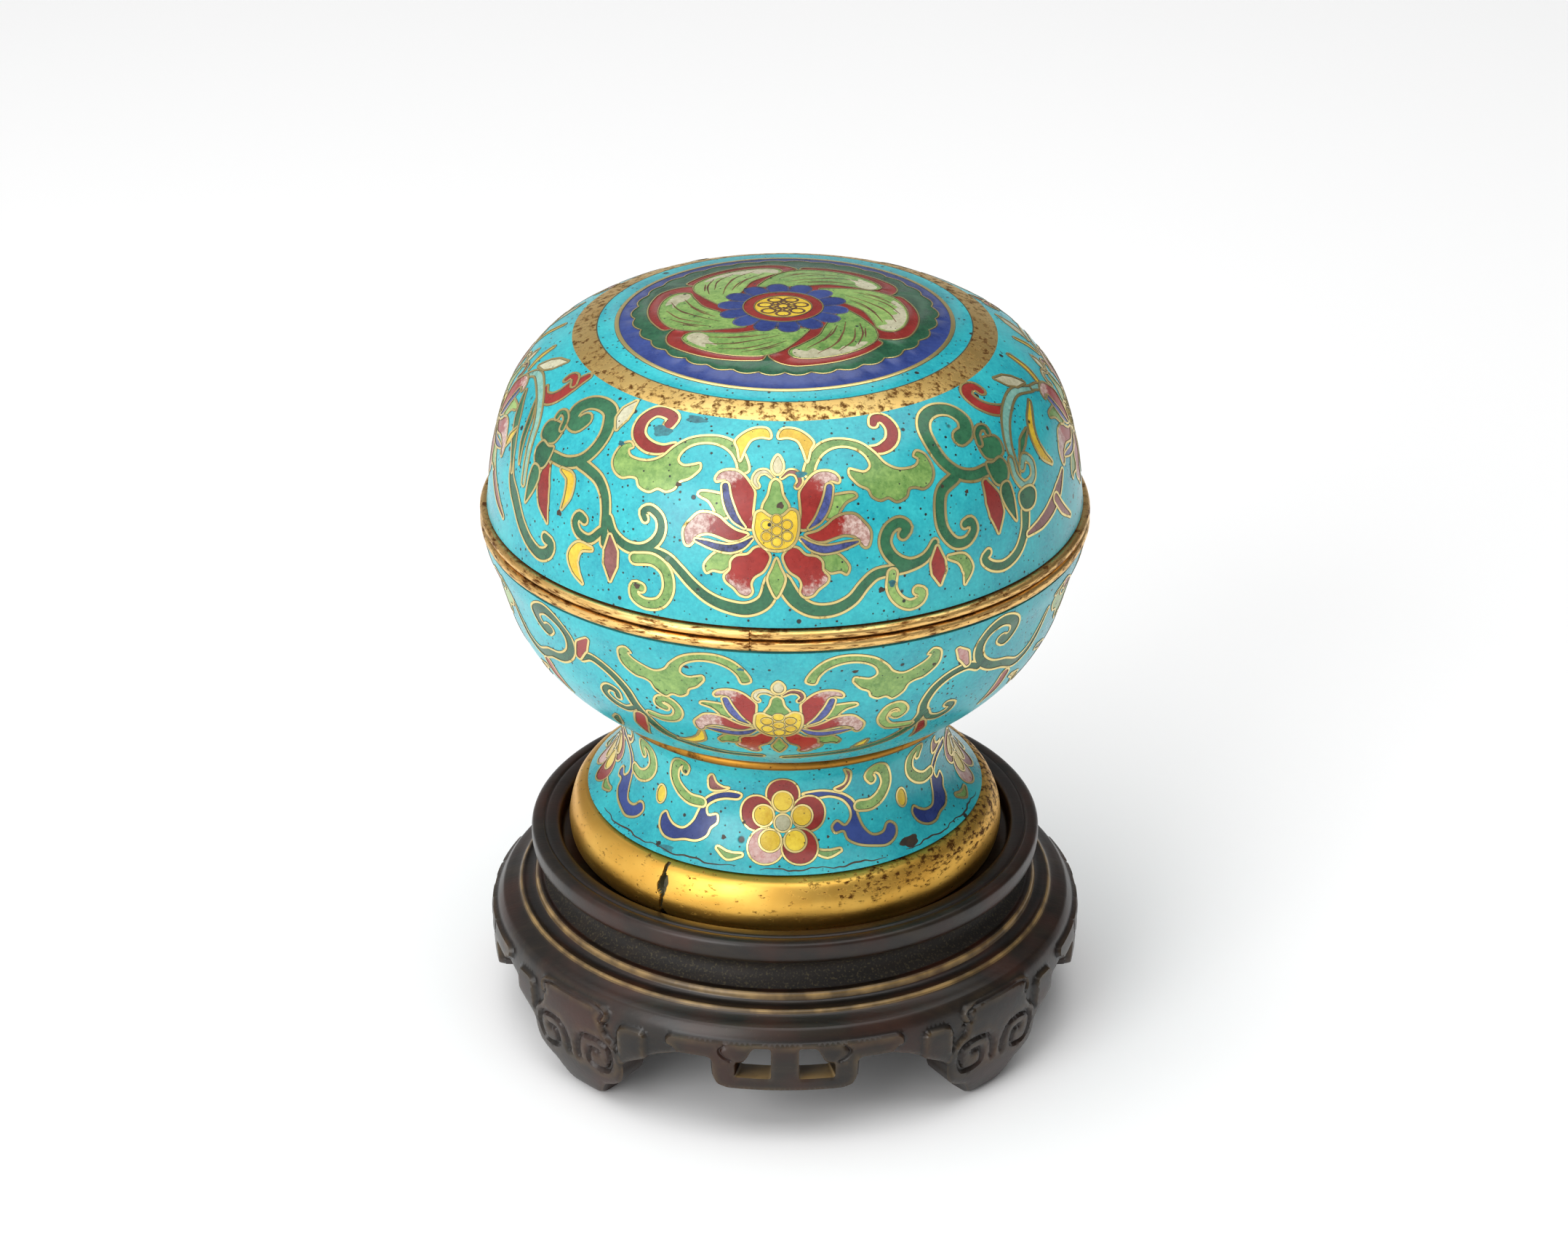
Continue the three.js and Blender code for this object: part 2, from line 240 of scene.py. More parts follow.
def cutDrawing(drawing, low, high, period, edgePoints, spacing, ground):
    # triangles of the sheet low..high, whose x comes round after `period`, or of a disc of radius high[0]
    points, edges = [], []

    def addChain(chain):
        first, count = len(points), len(chain)
        points.extend(map(tuple, chain))
        edges.extend((first + i, first + (i + 1) % count) for i in range(count))

    (x0, y0), y1 = low, high[1]
    x1 = x0 + period if period else high[0]
    x0 = x0 if period else -high[0]
    if period:
        rows = max(2, int((y1 - y0) / spacing))
        down = np.linspace(y0, y1, rows + 1)
        rim = np.linspace(x0, x1, edgePoints + 1)
        addChain([*((x, y0) for x in rim[:-1]), *((x1, y) for y in down[:-1]),
                  *((x, y1) for x in rim[:0:-1]), *((x0, y) for y in down[:0:-1])])
    else:
        turns = np.linspace(0, 2 * math.pi, edgePoints, endpoint=False)
        addChain(np.stack([np.sin(turns), -np.cos(turns)], 1) * high[0])
    faces = []
    for outline, *rest in drawing["faces"] + [(ridge, None) for ridge in drawing["ridges"]]:
        for shift in (-period, 0, period) if period else (0,):
            ring = outline + (shift, 0)
            if ring[:, 0].max() > x0 and ring[:, 0].min() < x1:
                addChain(ring)
                if rest[0]:
                    faces.append((ring, *rest, shift))
    # a grid of loose points keeps the triangles between the outlines even
    gx, gy = np.meshgrid(np.arange(x0 + spacing / 2, x1, spacing), np.arange(y0 + spacing / 2, y1, spacing * 0.87))
    gx = gx + (np.arange(gx.shape[0]) % 2)[:, None] * spacing / 2
    grid = np.stack([gx.ravel(), gy.ravel()], 1)
    grid = grid[grid[:, 0] < x1 - 0.3 * spacing] if period else grid[np.hypot(*grid.T) < high[0] - 0.4 * spacing]
    points.extend(map(tuple, grid))
    verts, _, tris, *_ = delaunay_2d_cdt([Vector(p) for p in points], edges, [], 0, 1e-4, False)
    verts, tris = np.array([tuple(v) for v in verts]), np.array(tris)
    mids = verts[tris].mean(1)
    sides = verts[tris[:, 1:]] - verts[tris[:, :1]]
    keep = np.abs(sides[:, 0, 0] * sides[:, 1, 1] - sides[:, 0, 1] * sides[:, 1, 0]) > 1e-9
    if period:
        keep &= ((mids > (x0, y0)) & (mids < (x1, y1))).all(1)
    else:
        keep &= np.hypot(*mids.T) < high[0]
    tris, mids = tris[keep], mids[keep]
    # the last outline that holds a triangle's middle gives its finish
    names = np.full(len(tris), ground, dtype=object)
    tone, tint = np.zeros((len(tris), 3)), np.full(len(tris), 0.5)
    for ring, cell, toneOf, cellTint, shift in faces:
        near = np.flatnonzero(((mids > ring.min(0)) & (mids < ring.max(0))).all(1))
        inside = near[timesRound(ring, mids[near]) > 0] if len(near) else near
        names[inside], tint[inside], tone[inside] = cell, cellTint, 0
        if toneOf is not None and len(inside):
            (x, y), full, none = toneOf
            reach = np.linalg.norm(verts[tris[inside]] - (x + shift, y), axis=2)
            tone[inside] = np.clip((reach - full) / (none - full), 0, 1)
    used = np.unique(tris)
    raised = np.zeros(len(verts), bool)
    raised[tris[names == "wire"].ravel()] = True
    raised[tris[(names != "wire") & (names != "dirt")].ravel()] = False
    renumber = np.zeros(len(verts), int)
    renumber[used] = np.arange(len(used))
    return {"verts": verts[used], "tris": renumber[tris], "names": names, "tone": tone, "tint": tint,
            "lift": raised[used].astype(float)}


# a skin gathers the patches of one piece, which are then welded into one mesh

def newSkin():
    return {"verts": [], "faces": [], "names": [], "tone": [], "tint": [], "count": 0}


def addPatch(skin, verts, faces, names, tone=None, tint=None):
    # tone is a value for each corner, tint one for each face or for each corner
    skin["verts"].append(np.asarray(verts, float))
    for i, face in enumerate(faces):
        skin["faces"].append([int(k) + skin["count"] for k in face])
        skin["names"].append(names if isinstance(names, str) else names[i])
        skin["tone"].extend(np.zeros(len(face)) if tone is None else tone[i])
        skin["tint"].extend(np.full(len(face), 0.5 if tint is None else tint[i]))
    skin["count"] += len(verts)


def addTurned(skin, profile, name, turns=None, shape=None):
    # radius and height pairs turned round the axis; shape(azimuth, r, z) may change a radius, and
    # name may be a function of the same three
    turns = np.radians(np.arange(-180, 180)) if turns is None else turns
    rows, verts, faces, names = [], [], [], []
    for r, z in profile:
        if r < 1e-6:
            rows.append([len(verts)] * len(turns))
            verts.append((0, 0, z))
        else:
            rows.append(list(range(len(verts), len(verts) + len(turns))))
            rs = shape(turns, r, z) if shape else r
            verts.extend(zip(rs * np.sin(turns), -rs * np.cos(turns), np.full(len(turns), z)))
    for high, low, (r0, z0), (r1, z1) in zip(rows, rows[1:], profile, profile[1:]):
        for k, turn in enumerate(turns):
            j = (k + 1) % len(turns)
            face = [high[k], low[k], low[j], high[j]]
            faces.append([f for i, f in enumerate(face) if f != face[i - 1]])
            names.append(name if isinstance(name, str) else name(turn, (r0 + r1) / 2, (z0 + z1) / 2))
    addPatch(skin, verts, faces, names)


def wrapped(r, z, nr, nz, turn, lift):
    # points lifted off a turned surface along its normal
    return np.stack([(r + nr * lift) * np.sin(turn), -(r + nr * lift) * np.cos(turn), z + nz * lift], 1)


def addSheet(skin, drawing, profile, reference, spacing):
    # cuts a drawing in enamel cells and wraps it once round a profile
    around = 2 * math.pi * reference
    cut = cutDrawing(drawing, (-around / 2, 0), (0, profile["length"]), around, 360, spacing, "turquoise")
    x, y = cut["verts"].T
    verts = wrapped(*alongProfile(profile, y), x / reference, cut["lift"] * wireLift)
    addPatch(skin, verts, cut["tris"], cut["names"], cut["tone"], cut["tint"])


def buildSkin(skin, name):
    mesh = bpy.data.meshes.new(name)
    mesh.from_pydata([tuple(v) for v in np.concatenate(skin["verts"]) * mm], [], skin["faces"])
    order = list(dict.fromkeys(skin["names"]))
    for used in order:
        mesh.materials.append(finishes[used])
    mesh.polygons.foreach_set("material_index", [order.index(n) for n in skin["names"]])
    for label in ("tone", "tint"):
        mesh.attributes.new(label, "FLOAT", "CORNER").data.foreach_set("value", np.array(skin[label], np.float32))
    work = bmesh.new()
    work.from_mesh(mesh)
    bmesh.ops.remove_doubles(work, verts=work.verts, dist=3e-6)
    bmesh.ops.dissolve_degenerate(work, edges=work.edges, dist=1e-7)
    bmesh.ops.recalc_face_normals(work, faces=work.faces)
    bmesh.ops.triangulate(work, faces=[f for f in work.faces if len(f.verts) > 4])
    loose = sum(1 for e in work.edges if len(e.link_faces) != 2)
    work.to_mesh(mesh)
    work.free()
    mesh.polygons.foreach_set("use_smooth", [True] * len(mesh.polygons))
    mesh.set_sharp_from_angle(angle=math.radians(48))
    made = bpy.data.objects.new(name, mesh)
    bpy.context.scene.collection.objects.link(made)
    print(name, len(mesh.polygons), "faces,", loose, "open edges")
    return made


def place(piece, node):
    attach(piece, "root")
    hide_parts(node)


# motifs of the lotus scroll, in mm from the motif's own middle, x to the right and y down

lotusShape = {
    "lowerPetal": [(0.9, 3.7), (2.3, 2.3), (3.3, 2.5), (4.3, 3.5), (6, 3.9), (6.8, 4.8), (6.9, 6.1), (7.7, 7.2),
        (7.5, 8.1), (6.2, 9.2), (5.3, 10.2), (4.1, 10.4), (3.4, 9.6), (3.6, 8.3), (3.2, 7.3), (1.9, 6.3),
        (1.2, 5.1)],
    "sidePetal": [(4.2, 0.5), (6.1, -0.1), (7.6, -1), (8.6, -1.8), (10.3, -2.4), (12.1, -2.2), (13.4, -0.9),
        (14.3, 0.5), (14.3, 1.9), (13.8, 3.1), (13.2, 3.2), (12.4, 2.3), (11.9, 1.5), (10.3, 1), (8.8, 1.3),
        (7, 1.8), (5.6, 1.6)],
    "upperPetal": [(3.4, -0.4), (3.6, -2.8), (3.5, -4.7), (3.5, -6), (4.5, -7.5), (5.6, -8.6), (6.8, -9.2),
        (8.5, -9.2), (9.8, -8.6), (10.3, -7.6), (10, -7.1), (8.6, -7.4), (7.9, -6.3), (7.3, -4.6), (6.7, -3),
        (5.9, -1.6), (4.4, -0.2)],
    "upperLeaflet": [(7.5, -1.8), (7.9, -3.6), (8.6, -5.2), (9.9, -5.5), (12.4, -5.4), (12.7, -4.8), (10.9, -4),
        (9.9, -2.9), (9.2, -1.8)],
    "lowerLeaflet": [(5.2, 3.2), (6.9, 3.7), (8.6, 3.4), (9.9, 4.4), (10.8, 6), (10.3, 7.1), (9.4, 6.6),
        (7.9, 6.7), (7, 6), (6.4, 4.8)],
    "blueHigh": [(4.9, -0.5), (6.3, -1.7), (7.3, -3.3), (8, -5), (8.4, -6.6)],
    "blueLow": [(3.7, 1.1), (5.2, 2.3), (7, 2.9), (8.8, 2.8), (10.7, 2.4), (12.2, 2.1)],
    "sepal": [(0, 4), (0.7, 5.6), (1.35, 7.3), (0.9, 9), (0, 10.5), (-0.9, 9), (-1.35, 7.3), (-0.7, 5.6)],
    "pod": [(-2.2, -2.4), (-2.3, -3.9), (-1.5, -5.6), (-1, -7.6), (-0.3, -8.1), (0.5, -7.6), (1, -5.6),
        (1.9, -4), (1.9, -2.4)],
    "podCurl": [(0.7, -8.3), (2, -9.2), (3.2, -8.9), (3.7, -7.7), (3.2, -6.9)],
    "tip": [(0, -12), (0.9, -10.9), (1, -9.6), (0.4, -8.8), (-0.4, -8.8), (-1, -9.6), (-0.9, -10.9)],
    "heart": [(-3.5, -1.5), (-3.2, -2.9), (-2.3, -3.2), (-1.2, -2.5), (0, -2.2), (1.1, -2.7), (2.1, -3.5),
        (3.1, -3.1), (3.4, -1.7), (3.3, 0), (2.8, 1.6), (1.6, 2.7), (0, 3), (-1.6, 2.7), (-2.8, 1.6), (-3.5, 0)],
}


def drawShape(drawing, outline, cell, tone=None, spacing=0.4, wire=wireWidth):
    drawCells(drawing, [curveThrough(outline, spacing, True)], cell, tone, wire)


def drawBand(drawing, line, widths, cell, wire=wireWidth):
    drawCells(drawing, [bandOutline(drawing, line, widths)], cell, wire=wire)


def drawLotus(drawing, x, y, sx=1.0, sy=1.0, heart=1.0):
    # the petals' tone runs from their root to their faded tips
    tone = ((x, y), 8.2 * (sx + sy) / 2, 12.2 * (sx + sy) / 2)
    shape = lotusShape
    for side in (-1, 1):
        parts = {key: moved(points, x, y, side * sx, sy) for key, points in shape.items()}
        for name, cell in (("upperLeaflet", "leafGreen"), ("lowerLeaflet", "leafGreen"), ("lowerPetal", "petal"),
                           ("sidePetal", "petal"), ("upperPetal", "petal")):
            drawShape(drawing, parts[name], cell, tone)
        drawBand(drawing, parts["blueHigh"], (0.5, 1.3, 1.6, 1.5, 1.3), "navy", 0.3)
        drawBand(drawing, parts["blueLow"], (0.6, 1.3, 1.5, 1.4, 1.2, 0.6), "navy", 0.3)
        drawBand(drawing, parts["podCurl"], (0.5, 0.9, 1.0, 0.8), "mauve" if side > 0 else "cream", 0.3)
    drawShape(drawing, parts["sepal"], "leafGreen")
    drawShape(drawing, parts["pod"], "podGreen")
    drawShape(drawing, parts["tip"], "cream", spacing=0.35)
    drawShape(drawing, moved(shape["heart"], x, y, sx * heart, sy * heart), "yellow")
    # six seeds round a middle one
    seed = ellipse(0, 0, 0.78, 0.78, 14) * heart
    for k in range(7):
        turn = 2 * math.pi * k / 6 + 0.5
        reach = (0 if k == 6 else 1.75) * heart
        middle = (x + reach * math.cos(turn), y - 0.15 + reach * math.sin(turn))
        drawCells(drawing, [seed + middle], "yellow", wire=0.12)


# one acanthus leaf on its arched stalk, from the stalk's foot over the arch to the curled end, and the
# yellow hook below it
leafOutline = [(4.2, 9.5), (4.9, 7), (6.7, 4.8), (9.2, 3.8), (12.2, 4), (14.7, 5), (16.7, 7), (17.9, 8.8),
    (19.7, 10), (21.7, 10.3), (23.2, 10), (23.7, 9.2), (23.1, 8.7), (23.9, 7.9), (25.2, 8.6), (25.8, 10.3),
    (25.7, 12), (24.7, 13.4), (23.2, 14), (21.9, 13.5), (20.9, 13.5), (20.2, 14.6), (18.4, 15.1), (17.2, 14.3),
    (15.9, 14.5), (14.6, 13.7), (14.2, 12.6), (12.9, 11.8), (12.1, 10.9), (11.5, 9.9), (11.7, 9), (12.7, 9.3),
    (14.2, 9.7), (15.2, 9), (14.9, 7.5), (13.7, 6.2), (11.7, 5.4), (9.4, 5.5), (7.4, 6.6), (6.3, 8.2),
    (5.6, 10)]
hookOutline = [(-0.1, 2.6), (0.7, 1.5), (3.2, 1.5), (5.4, 2.8), (6.4, 4.3), (5.7, 5.5), (4.9, 7.6), (4.2, 5.5),
    (3.4, 3.9), (1.7, 3.3), (0, 3.4)]


def drawLeaf(drawing, x, side, sx=1.0, sy=1.0, dy=0.0, rise=0.0):
    points = np.array(leafOutline)
    points[:, 1] -= rise * np.clip((points[:, 0] - 19) / 5, 0, 1)
    drawShape(drawing, moved(points, x, dy, side * sx, sy), "leafGreen", spacing=0.42)


# enamel: opaque coloured glass fused in copper cells and ground flat, so it is glossy with a soft,
# slightly rolling surface, clouded inside each cell and pitted where bubbles were ground open

def makeEnamel(name, deep, pale, cloud=4.0, pits=1.0, speckle=0.0, faded=None, roughness=0.27):
    material = newMaterial(name)
    spot = objectSpot(material)
    clouds = noise(material, spot, cloud, 4.0, 0.62)
    grain = noise(material, spot, 0.6, 3.0, 0.7)
    share = maths(material, "MULTIPLY_ADD", attribute(material, "tint"), 0.36, clouds)
    share = maths(material, "MULTIPLY_ADD", grain, 0.9, share)
    colour = blend(material, remap(material, share, 0.82, 1.42), deep, pale)
    if faded:
        streaks = noise(material, spot, 0.8, 4.0, 0.65)
        fade = maths(material, "MULTIPLY_ADD", streaks, 1.3, attribute(material, "tone"))
        stained = blend(material, remap(material, grain, 0.4, 0.62), "#A2786E", faded)
        colour = blend(material, remap(material, fade, 0.95, 1.35, smooth=True), colour, stained)
    pitted = 0.0
    for spacing, whole, radius in ((0.8, 0.62 - 0.4 * speckle, 0.15 + 0.1 * speckle), (2.3, 0.66, 0.15),
                                   (6.5, 0.6, 0.085)):
        mask = pitMask(material, spot, spacing, whole, radius * pits, 0.012)
        pitted = maths(material, "MAXIMUM", pitted, mask) if pitted else mask
    rolling = noise(material, spot, 3.4)
    return finishMaterial(material, blend(material, pitted, colour, "#1E2321"),
                          remap(material, clouds, toLow=roughness - 0.07, toHigh=roughness + 0.1),
                          maths(material, "MULTIPLY_ADD", pitted, -0.9, rolling), 0.5, 0.11, {"IOR": 1.52})


# gilding: thin fire gilding on copper alloy, bright where rubbed and brown where it has worn
# through; rubbedSide lets more of it go on the upper part of the right front

def makeGilding(name, bright, dull, worn, wornShare=0.3, grain=1.2, roughness=0.27, drawn=1.0, pits=0.6,
                rubbedSide=0.0):
    material = newMaterial(name)
    spot = objectSpot(material)
    rubbed = noise(material, spot, 7, 5.0)
    squeezed = (addNode(material, "Mapping", None, {"Vector": spot, "Scale": (1, 1, drawn)}), 0)
    share = noise(material, squeezed, grain, 6.0, 0.68)
    if rubbedSide:
        axes = addNode(material, "SeparateXYZ", None, {"Vector": spot})
        right = remap(material, (axes, "X"), 0.0, 16 * mm, 0.0, rubbedSide, smooth=True)
        high = remap(material, (axes, "Z"), 35.5 * mm, 38.5 * mm, smooth=True)
        share = maths(material, "MULTIPLY_ADD", right, high, share)
    edge = 0.78 - 0.4 * wornShare
    lost = maths(material, "MAXIMUM", remap(material, share, edge - 0.05, edge + 0.07),
                 pitMask(material, spot, 1.1, 1 - pits, 0.17, 0.02))
    return finishMaterial(material, blend(material, lost, blend(material, rubbed, dull, bright), worn),
                          remap(material, lost, toLow=roughness, toHigh=roughness + 0.25),
                          maths(material, "MULTIPLY_ADD", lost, -1.0, rubbed), 0.35, 0.07, {"Metallic": 1.0})


# waxed dark hardwood: close grain with short pores, a soft gloss, paler where handling has rubbed the
# raised edges (tone), and near black (tint) where wax and dust have settled and as painted shade in hollows

def makeWood(name, deep, middle, pale, warm, gloss=0.3, coat=0.3, dust=0.0):
    material = newMaterial(name)
    spot = objectSpot(material)
    along = (addNode(material, "Mapping", None, {"Vector": spot, "Scale": (0.09, 1.0, 0.8)}), 0)
    figure = noise(material, along, 2.6, 5.0, distortion=0.4)
    pores = noise(material, along, 0.45, 3.0)
    cloud = noise(material, spot, 11, 4.0)
    ramp = addNode(material, "ValToRGB", None, {"Fac": figure})
    stops = ramp.color_ramp.elements
    stops.new(0.5)
    for stop, at, shade in zip(stops, (0.3, 0.52, 0.75), (deep, middle, pale)):
        stop.position, stop.color = at, linear(shade)
    colour = blend(material, remap(material, cloud, 0.45, 0.75), (ramp, "Color"), warm)
    patchy = remap(material, noise(material, spot, 5, 3.0), 0.42, 0.66, 0.3, 1.0)
    rubbed = maths(material, "MULTIPLY", patchy, attribute(material, "tone"))
    rubbed[0].use_clamp = True
    colour = blend(material, rubbed, colour, "#927648")
    # tint darkens towards near black: dirt, and painted shade in creases, grooves and the apron's inside
    colour = blend(material, attribute(material, "tint"), colour, "#0B0806")
    grit = remap(material, noise(material, spot, 0.4), 0.66 - 0.12 * dust, 0.76, 0.0, 0.25 + 0.5 * dust)
    return finishMaterial(material, blend(material, grit, colour, "#4E462E"),
                          remap(material, cloud, toLow=gloss - 0.04, toHigh=gloss + 0.14),
                          maths(material, "MULTIPLY_ADD", pores, 0.6, figure), 0.4 + 0.4 * dust, 0.08,
                          {"IOR": 1.43, "Coat Weight": coat, "Coat Roughness": 0.22})


finishes = {
    "turquoise": makeEnamel("turquoise enamel ground", "#0D8F9F", "#35BBC0", cloud=7.0, pits=1.5, speckle=0.5),
    "petal": makeEnamel("red enamel shading to pinkish white", "#7C1D18", "#9E2D26", faded="#D0B8AE"),
    "red": makeEnamel("iron red enamel", "#7A201B", "#9A3029"),
    "cobalt": makeEnamel("cobalt blue enamel", "#1C2E6C", "#344888", pits=0.7),
    "navy": makeEnamel("cobalt enamel burnt dark", "#23294A", "#5560A0", cloud=1.3, pits=0.8),
    "leafGreen": makeEnamel("light leaf green enamel", "#5A8240", "#96B664", cloud=2.2, speckle=0.75),
    "podGreen": makeEnamel("mid green enamel", "#55803E", "#84A65E", cloud=1.8, speckle=0.4),
    "darkGreen": makeEnamel("dark green enamel", "#1A4A33", "#34704C", cloud=3.0, pits=0.7),
    "paleTeal": makeEnamel("pale teal enamel", "#5D978A", "#92BEB0", cloud=2.0, speckle=0.2),
    "cream": makeEnamel("ivory enamel", "#B8AE84", "#DCD4B4", cloud=1.5),
    "white": makeEnamel("greyish white enamel", "#A09C7E", "#C8C5A8", cloud=1.4, speckle=0.4),
    "pink": makeEnamel("pinkish white enamel", "#B97C74", "#D8BCB4", cloud=1.6),
    "yellow": makeEnamel("imperial yellow enamel", "#C8A024", "#E6CA40", cloud=2.2, speckle=0.2),
    "mauve": makeEnamel("brownish mauve enamel", "#6E3E3A", "#96605A"),
    # bare dark copper where enamel or gilding is lost, and the fill over an old chip
    "loss": makeEnamel("bare dark copper where enamel or gilding is lost", "#2A1D14", "#4A3524", cloud=1.5,
                       roughness=0.5),
    "patch": makeEnamel("dark teal fill over an old chip", "#16505A", "#2E8088", cloud=1.2, roughness=0.4),
    "vein": makeEnamel("dark brown line between the enamels", "#4A2C1A", "#6A4426", cloud=1.2, pits=0.0,
                       roughness=0.5),
    "dirt": makeEnamel("dirt settled beside the wires", "#2C281A", "#5C5636", cloud=1.6, pits=0.0, roughness=0.55),
    "lining": makeEnamel("plain turquoise lining enamel", "#2F96A4", "#57B4BE", cloud=14.0),
    # gilt wires, crown band, rims, neck wire and foot ring
    "wire": makeGilding("gilt copper cell wire", "#F6E6A6", "#DCC074", "#8A7038", wornShare=0.34, grain=2.0,
                        pits=0.0, roughness=0.36),
    "band": makeGilding("worn gilt collar of the crown", "#FBDD94", "#DFB25E", "#6E4A24", wornShare=0.6, grain=1.3,
                        pits=0.45, roughness=0.38),
    "rim": makeGilding("worn gilt rim", "#FFDC94", "#DCA24E", "#6C421C", wornShare=0.6, grain=3.2, roughness=0.32,
                       drawn=6.0, pits=0.3),
    "neck": makeGilding("dull gilt neck wire", "#B98432", "#8C6128", "#4E3218", wornShare=0.5, grain=3.0,
                        roughness=0.42),
    "ring": makeGilding("fire gilt foot ring", "#F8CB66", "#D89A38", "#5F3A18", wornShare=0.36, grain=1.4,
                        roughness=0.38, drawn=2.2, pits=0.45, rubbedSide=0.115),
    # the stand's wood, and the cove where dust lies and its wood is darkened as painted shade
    "wood": makeWood("waxed dark hardwood", "#100A06", "#1B130C", "#292015", "#35190E", coat=0.06),
    "coveWood": makeWood("dusty hardwood of the cove, darkened as painted shade", "#0D0805", "#17100A", "#241A10", "#1A130D", gloss=0.62,
                         coat=0.0, dust=1.0),
}
print("finishes made")


# lid: its crown is a medallion inside a gilt band, its side a lotus scroll that comes twice round

lidShape = {
    "crown": [(0, 126.45), (7, 126.25), (14, 125.85), (21, 124.95), (27.1, 123.8), (30.6, 123.2), (34.1, 121.9)],
    "side": [(34.1, 121.9), (37.3, 120.1), (40, 118.1), (44.5, 112.25), (47.3, 103.4), (48.6, 93.7)],
    "wall": 2,
    "reference": 44,
    "lotus": (-1.2, 18.2),
    "sideLotus": 67.6,
    "band": (30.25, 34.1),
    "bandRise": 0.22,
}


def polar(r, azimuth):
    # seen from above, azimuth from the front towards +X
    a = np.radians(np.asarray(azimuth, float))
    return np.stack([r * np.sin(a), -r * np.cos(a)], -1)


# the whirl of six leaves on the crown: radius and azimuth within one sixth
whirl = {
    "lobe": [(16.8, -8), (18.3, -6.5), (19.9, -2), (20.9, 4), (21, 12), (20.8, 24), (20.4, 35), (19.8, 45),
        (19.2, 51)],
    "leaf": [(14.9, 7), (15.8, 2.5), (17.2, 1.6), (18.4, 4), (19.1, 12), (19.1, 27), (18.7, 40), (17.9, 51),
        (16, 60), (13.5, 68), (11.2, 77), (9.6, 84), (8.6, 70), (8.8, 50), (10, 37), (12.1, 25), (13.8, 13)],
    "edge": [(15.7, 5), (17.2, 3.5), (18.3, 6), (18.8, 14), (18.8, 26), (18.4, 37), (17.6, 45), (16.9, 41),
        (17.6, 36), (16.8, 31), (17.5, 27), (16.5, 23), (17, 18), (15.9, 15), (16.6, 11)],
    "head": [(15.4, 6), (16.4, 3), (17.8, 5), (18.3, 12), (18.2, 20), (17.4, 18), (16.9, 24), (16.2, 16),
        (15.5, 14)],
    "veins": [[(17.6, 16), (15.8, 28), (13.2, 42), (11, 58)], [(17.8, 27), (16, 40), (13.4, 53)],
        [(17.4, 39), (15.4, 50), (13, 62)], [(15.8, 12), (13.6, 26), (11.4, 40)],
        [(16.8, 22), (15, 33), (13.4, 40)], [(16.4, 48), (14.4, 58)], [(14.2, 24), (12.4, 36), (10.8, 48)]],
    "petal": [(5.6, -12), (7.2, -12.5), (8.7, -10.5), (9.8, -4.5), (9.8, 4.5), (8.7, 10.5), (7.2, 12.5), (5.6, 12)],
    "wide": 1.05,
    "middle": (-0.3, 0.5),
}


def drawMedallion():
    drawing = newDrawing()
    turns = np.arange(0, 360, 1.5)
    shape = whirl

    def placed(points, at=0):
        return np.array([polar(r, at + a) for r, a in points]) * (shape["wide"], 1) + shape["middle"]

    def disc(outline, cell, wire, line="wire"):
        drawCells(drawing, [outline], cell, wire=wire, line=line)

    disc(polar(30.2, turns), "dirt", 0)
    disc(polar(30.0, turns), "turquoise", 0)
    disc(polar(26.9, turns), "cobalt", 0.66)
    scallops = (24.0 - 1.8 * np.clip(np.cos(np.radians(turns)), 0, 1) ** 0.6
                + 0.8 * np.abs(np.sin(np.radians(turns * 16 + 22 * np.sin(np.radians(turns * 2))))) ** 0.8)
    disc(polar(scallops, turns), "darkGreen", 0.2)
    drawShape(drawing, placed([(r, a + 60 * k) for k in range(6) for r, a in shape["lobe"]]), "red", wire=0.22)
    for k in range(6):
        at = 60 * k + rng.uniform(-1.5, 1.5)
        drawShape(drawing, placed(shape["leaf"], at), "leafGreen", wire=0.18)
        drawShape(drawing, placed(shape["edge" if k in (0, 1, 3) else "head"], at), "white", wire=0)
        for vein in shape["veins"]:
            drawBand(drawing, placed(vein, at), (0.14, 0.34, 0.12), "vein", 0)
    for k in range(14):
        disc(curveThrough(placed(shape["petal"], 360 * k / 14 + 6), 0.4, True), "cobalt", 0.18, "navy")
    for radius, cell, wire in ((6.1, "red", 0.16), (4.4, "yellow", 0.14)):
        drawShape(drawing, placed([(radius, a) for a in turns[::6]]), cell, wire=wire)
    for k in range(7):
        for spot, wide in (((2.95, 360 * k / 7), 1.1), ((1.65, 360 * k / 7 + 22), 0.5)):
            disc(polar(*spot) + shape["middle"] + polar(wide, turns[::12]) * (1.0, 0.8), "yellow", 0.3, "vein")
    disc(np.array(shape["middle"]) + polar(0.9, turns[::16]), "yellow", 0.3, "vein")
    return drawing


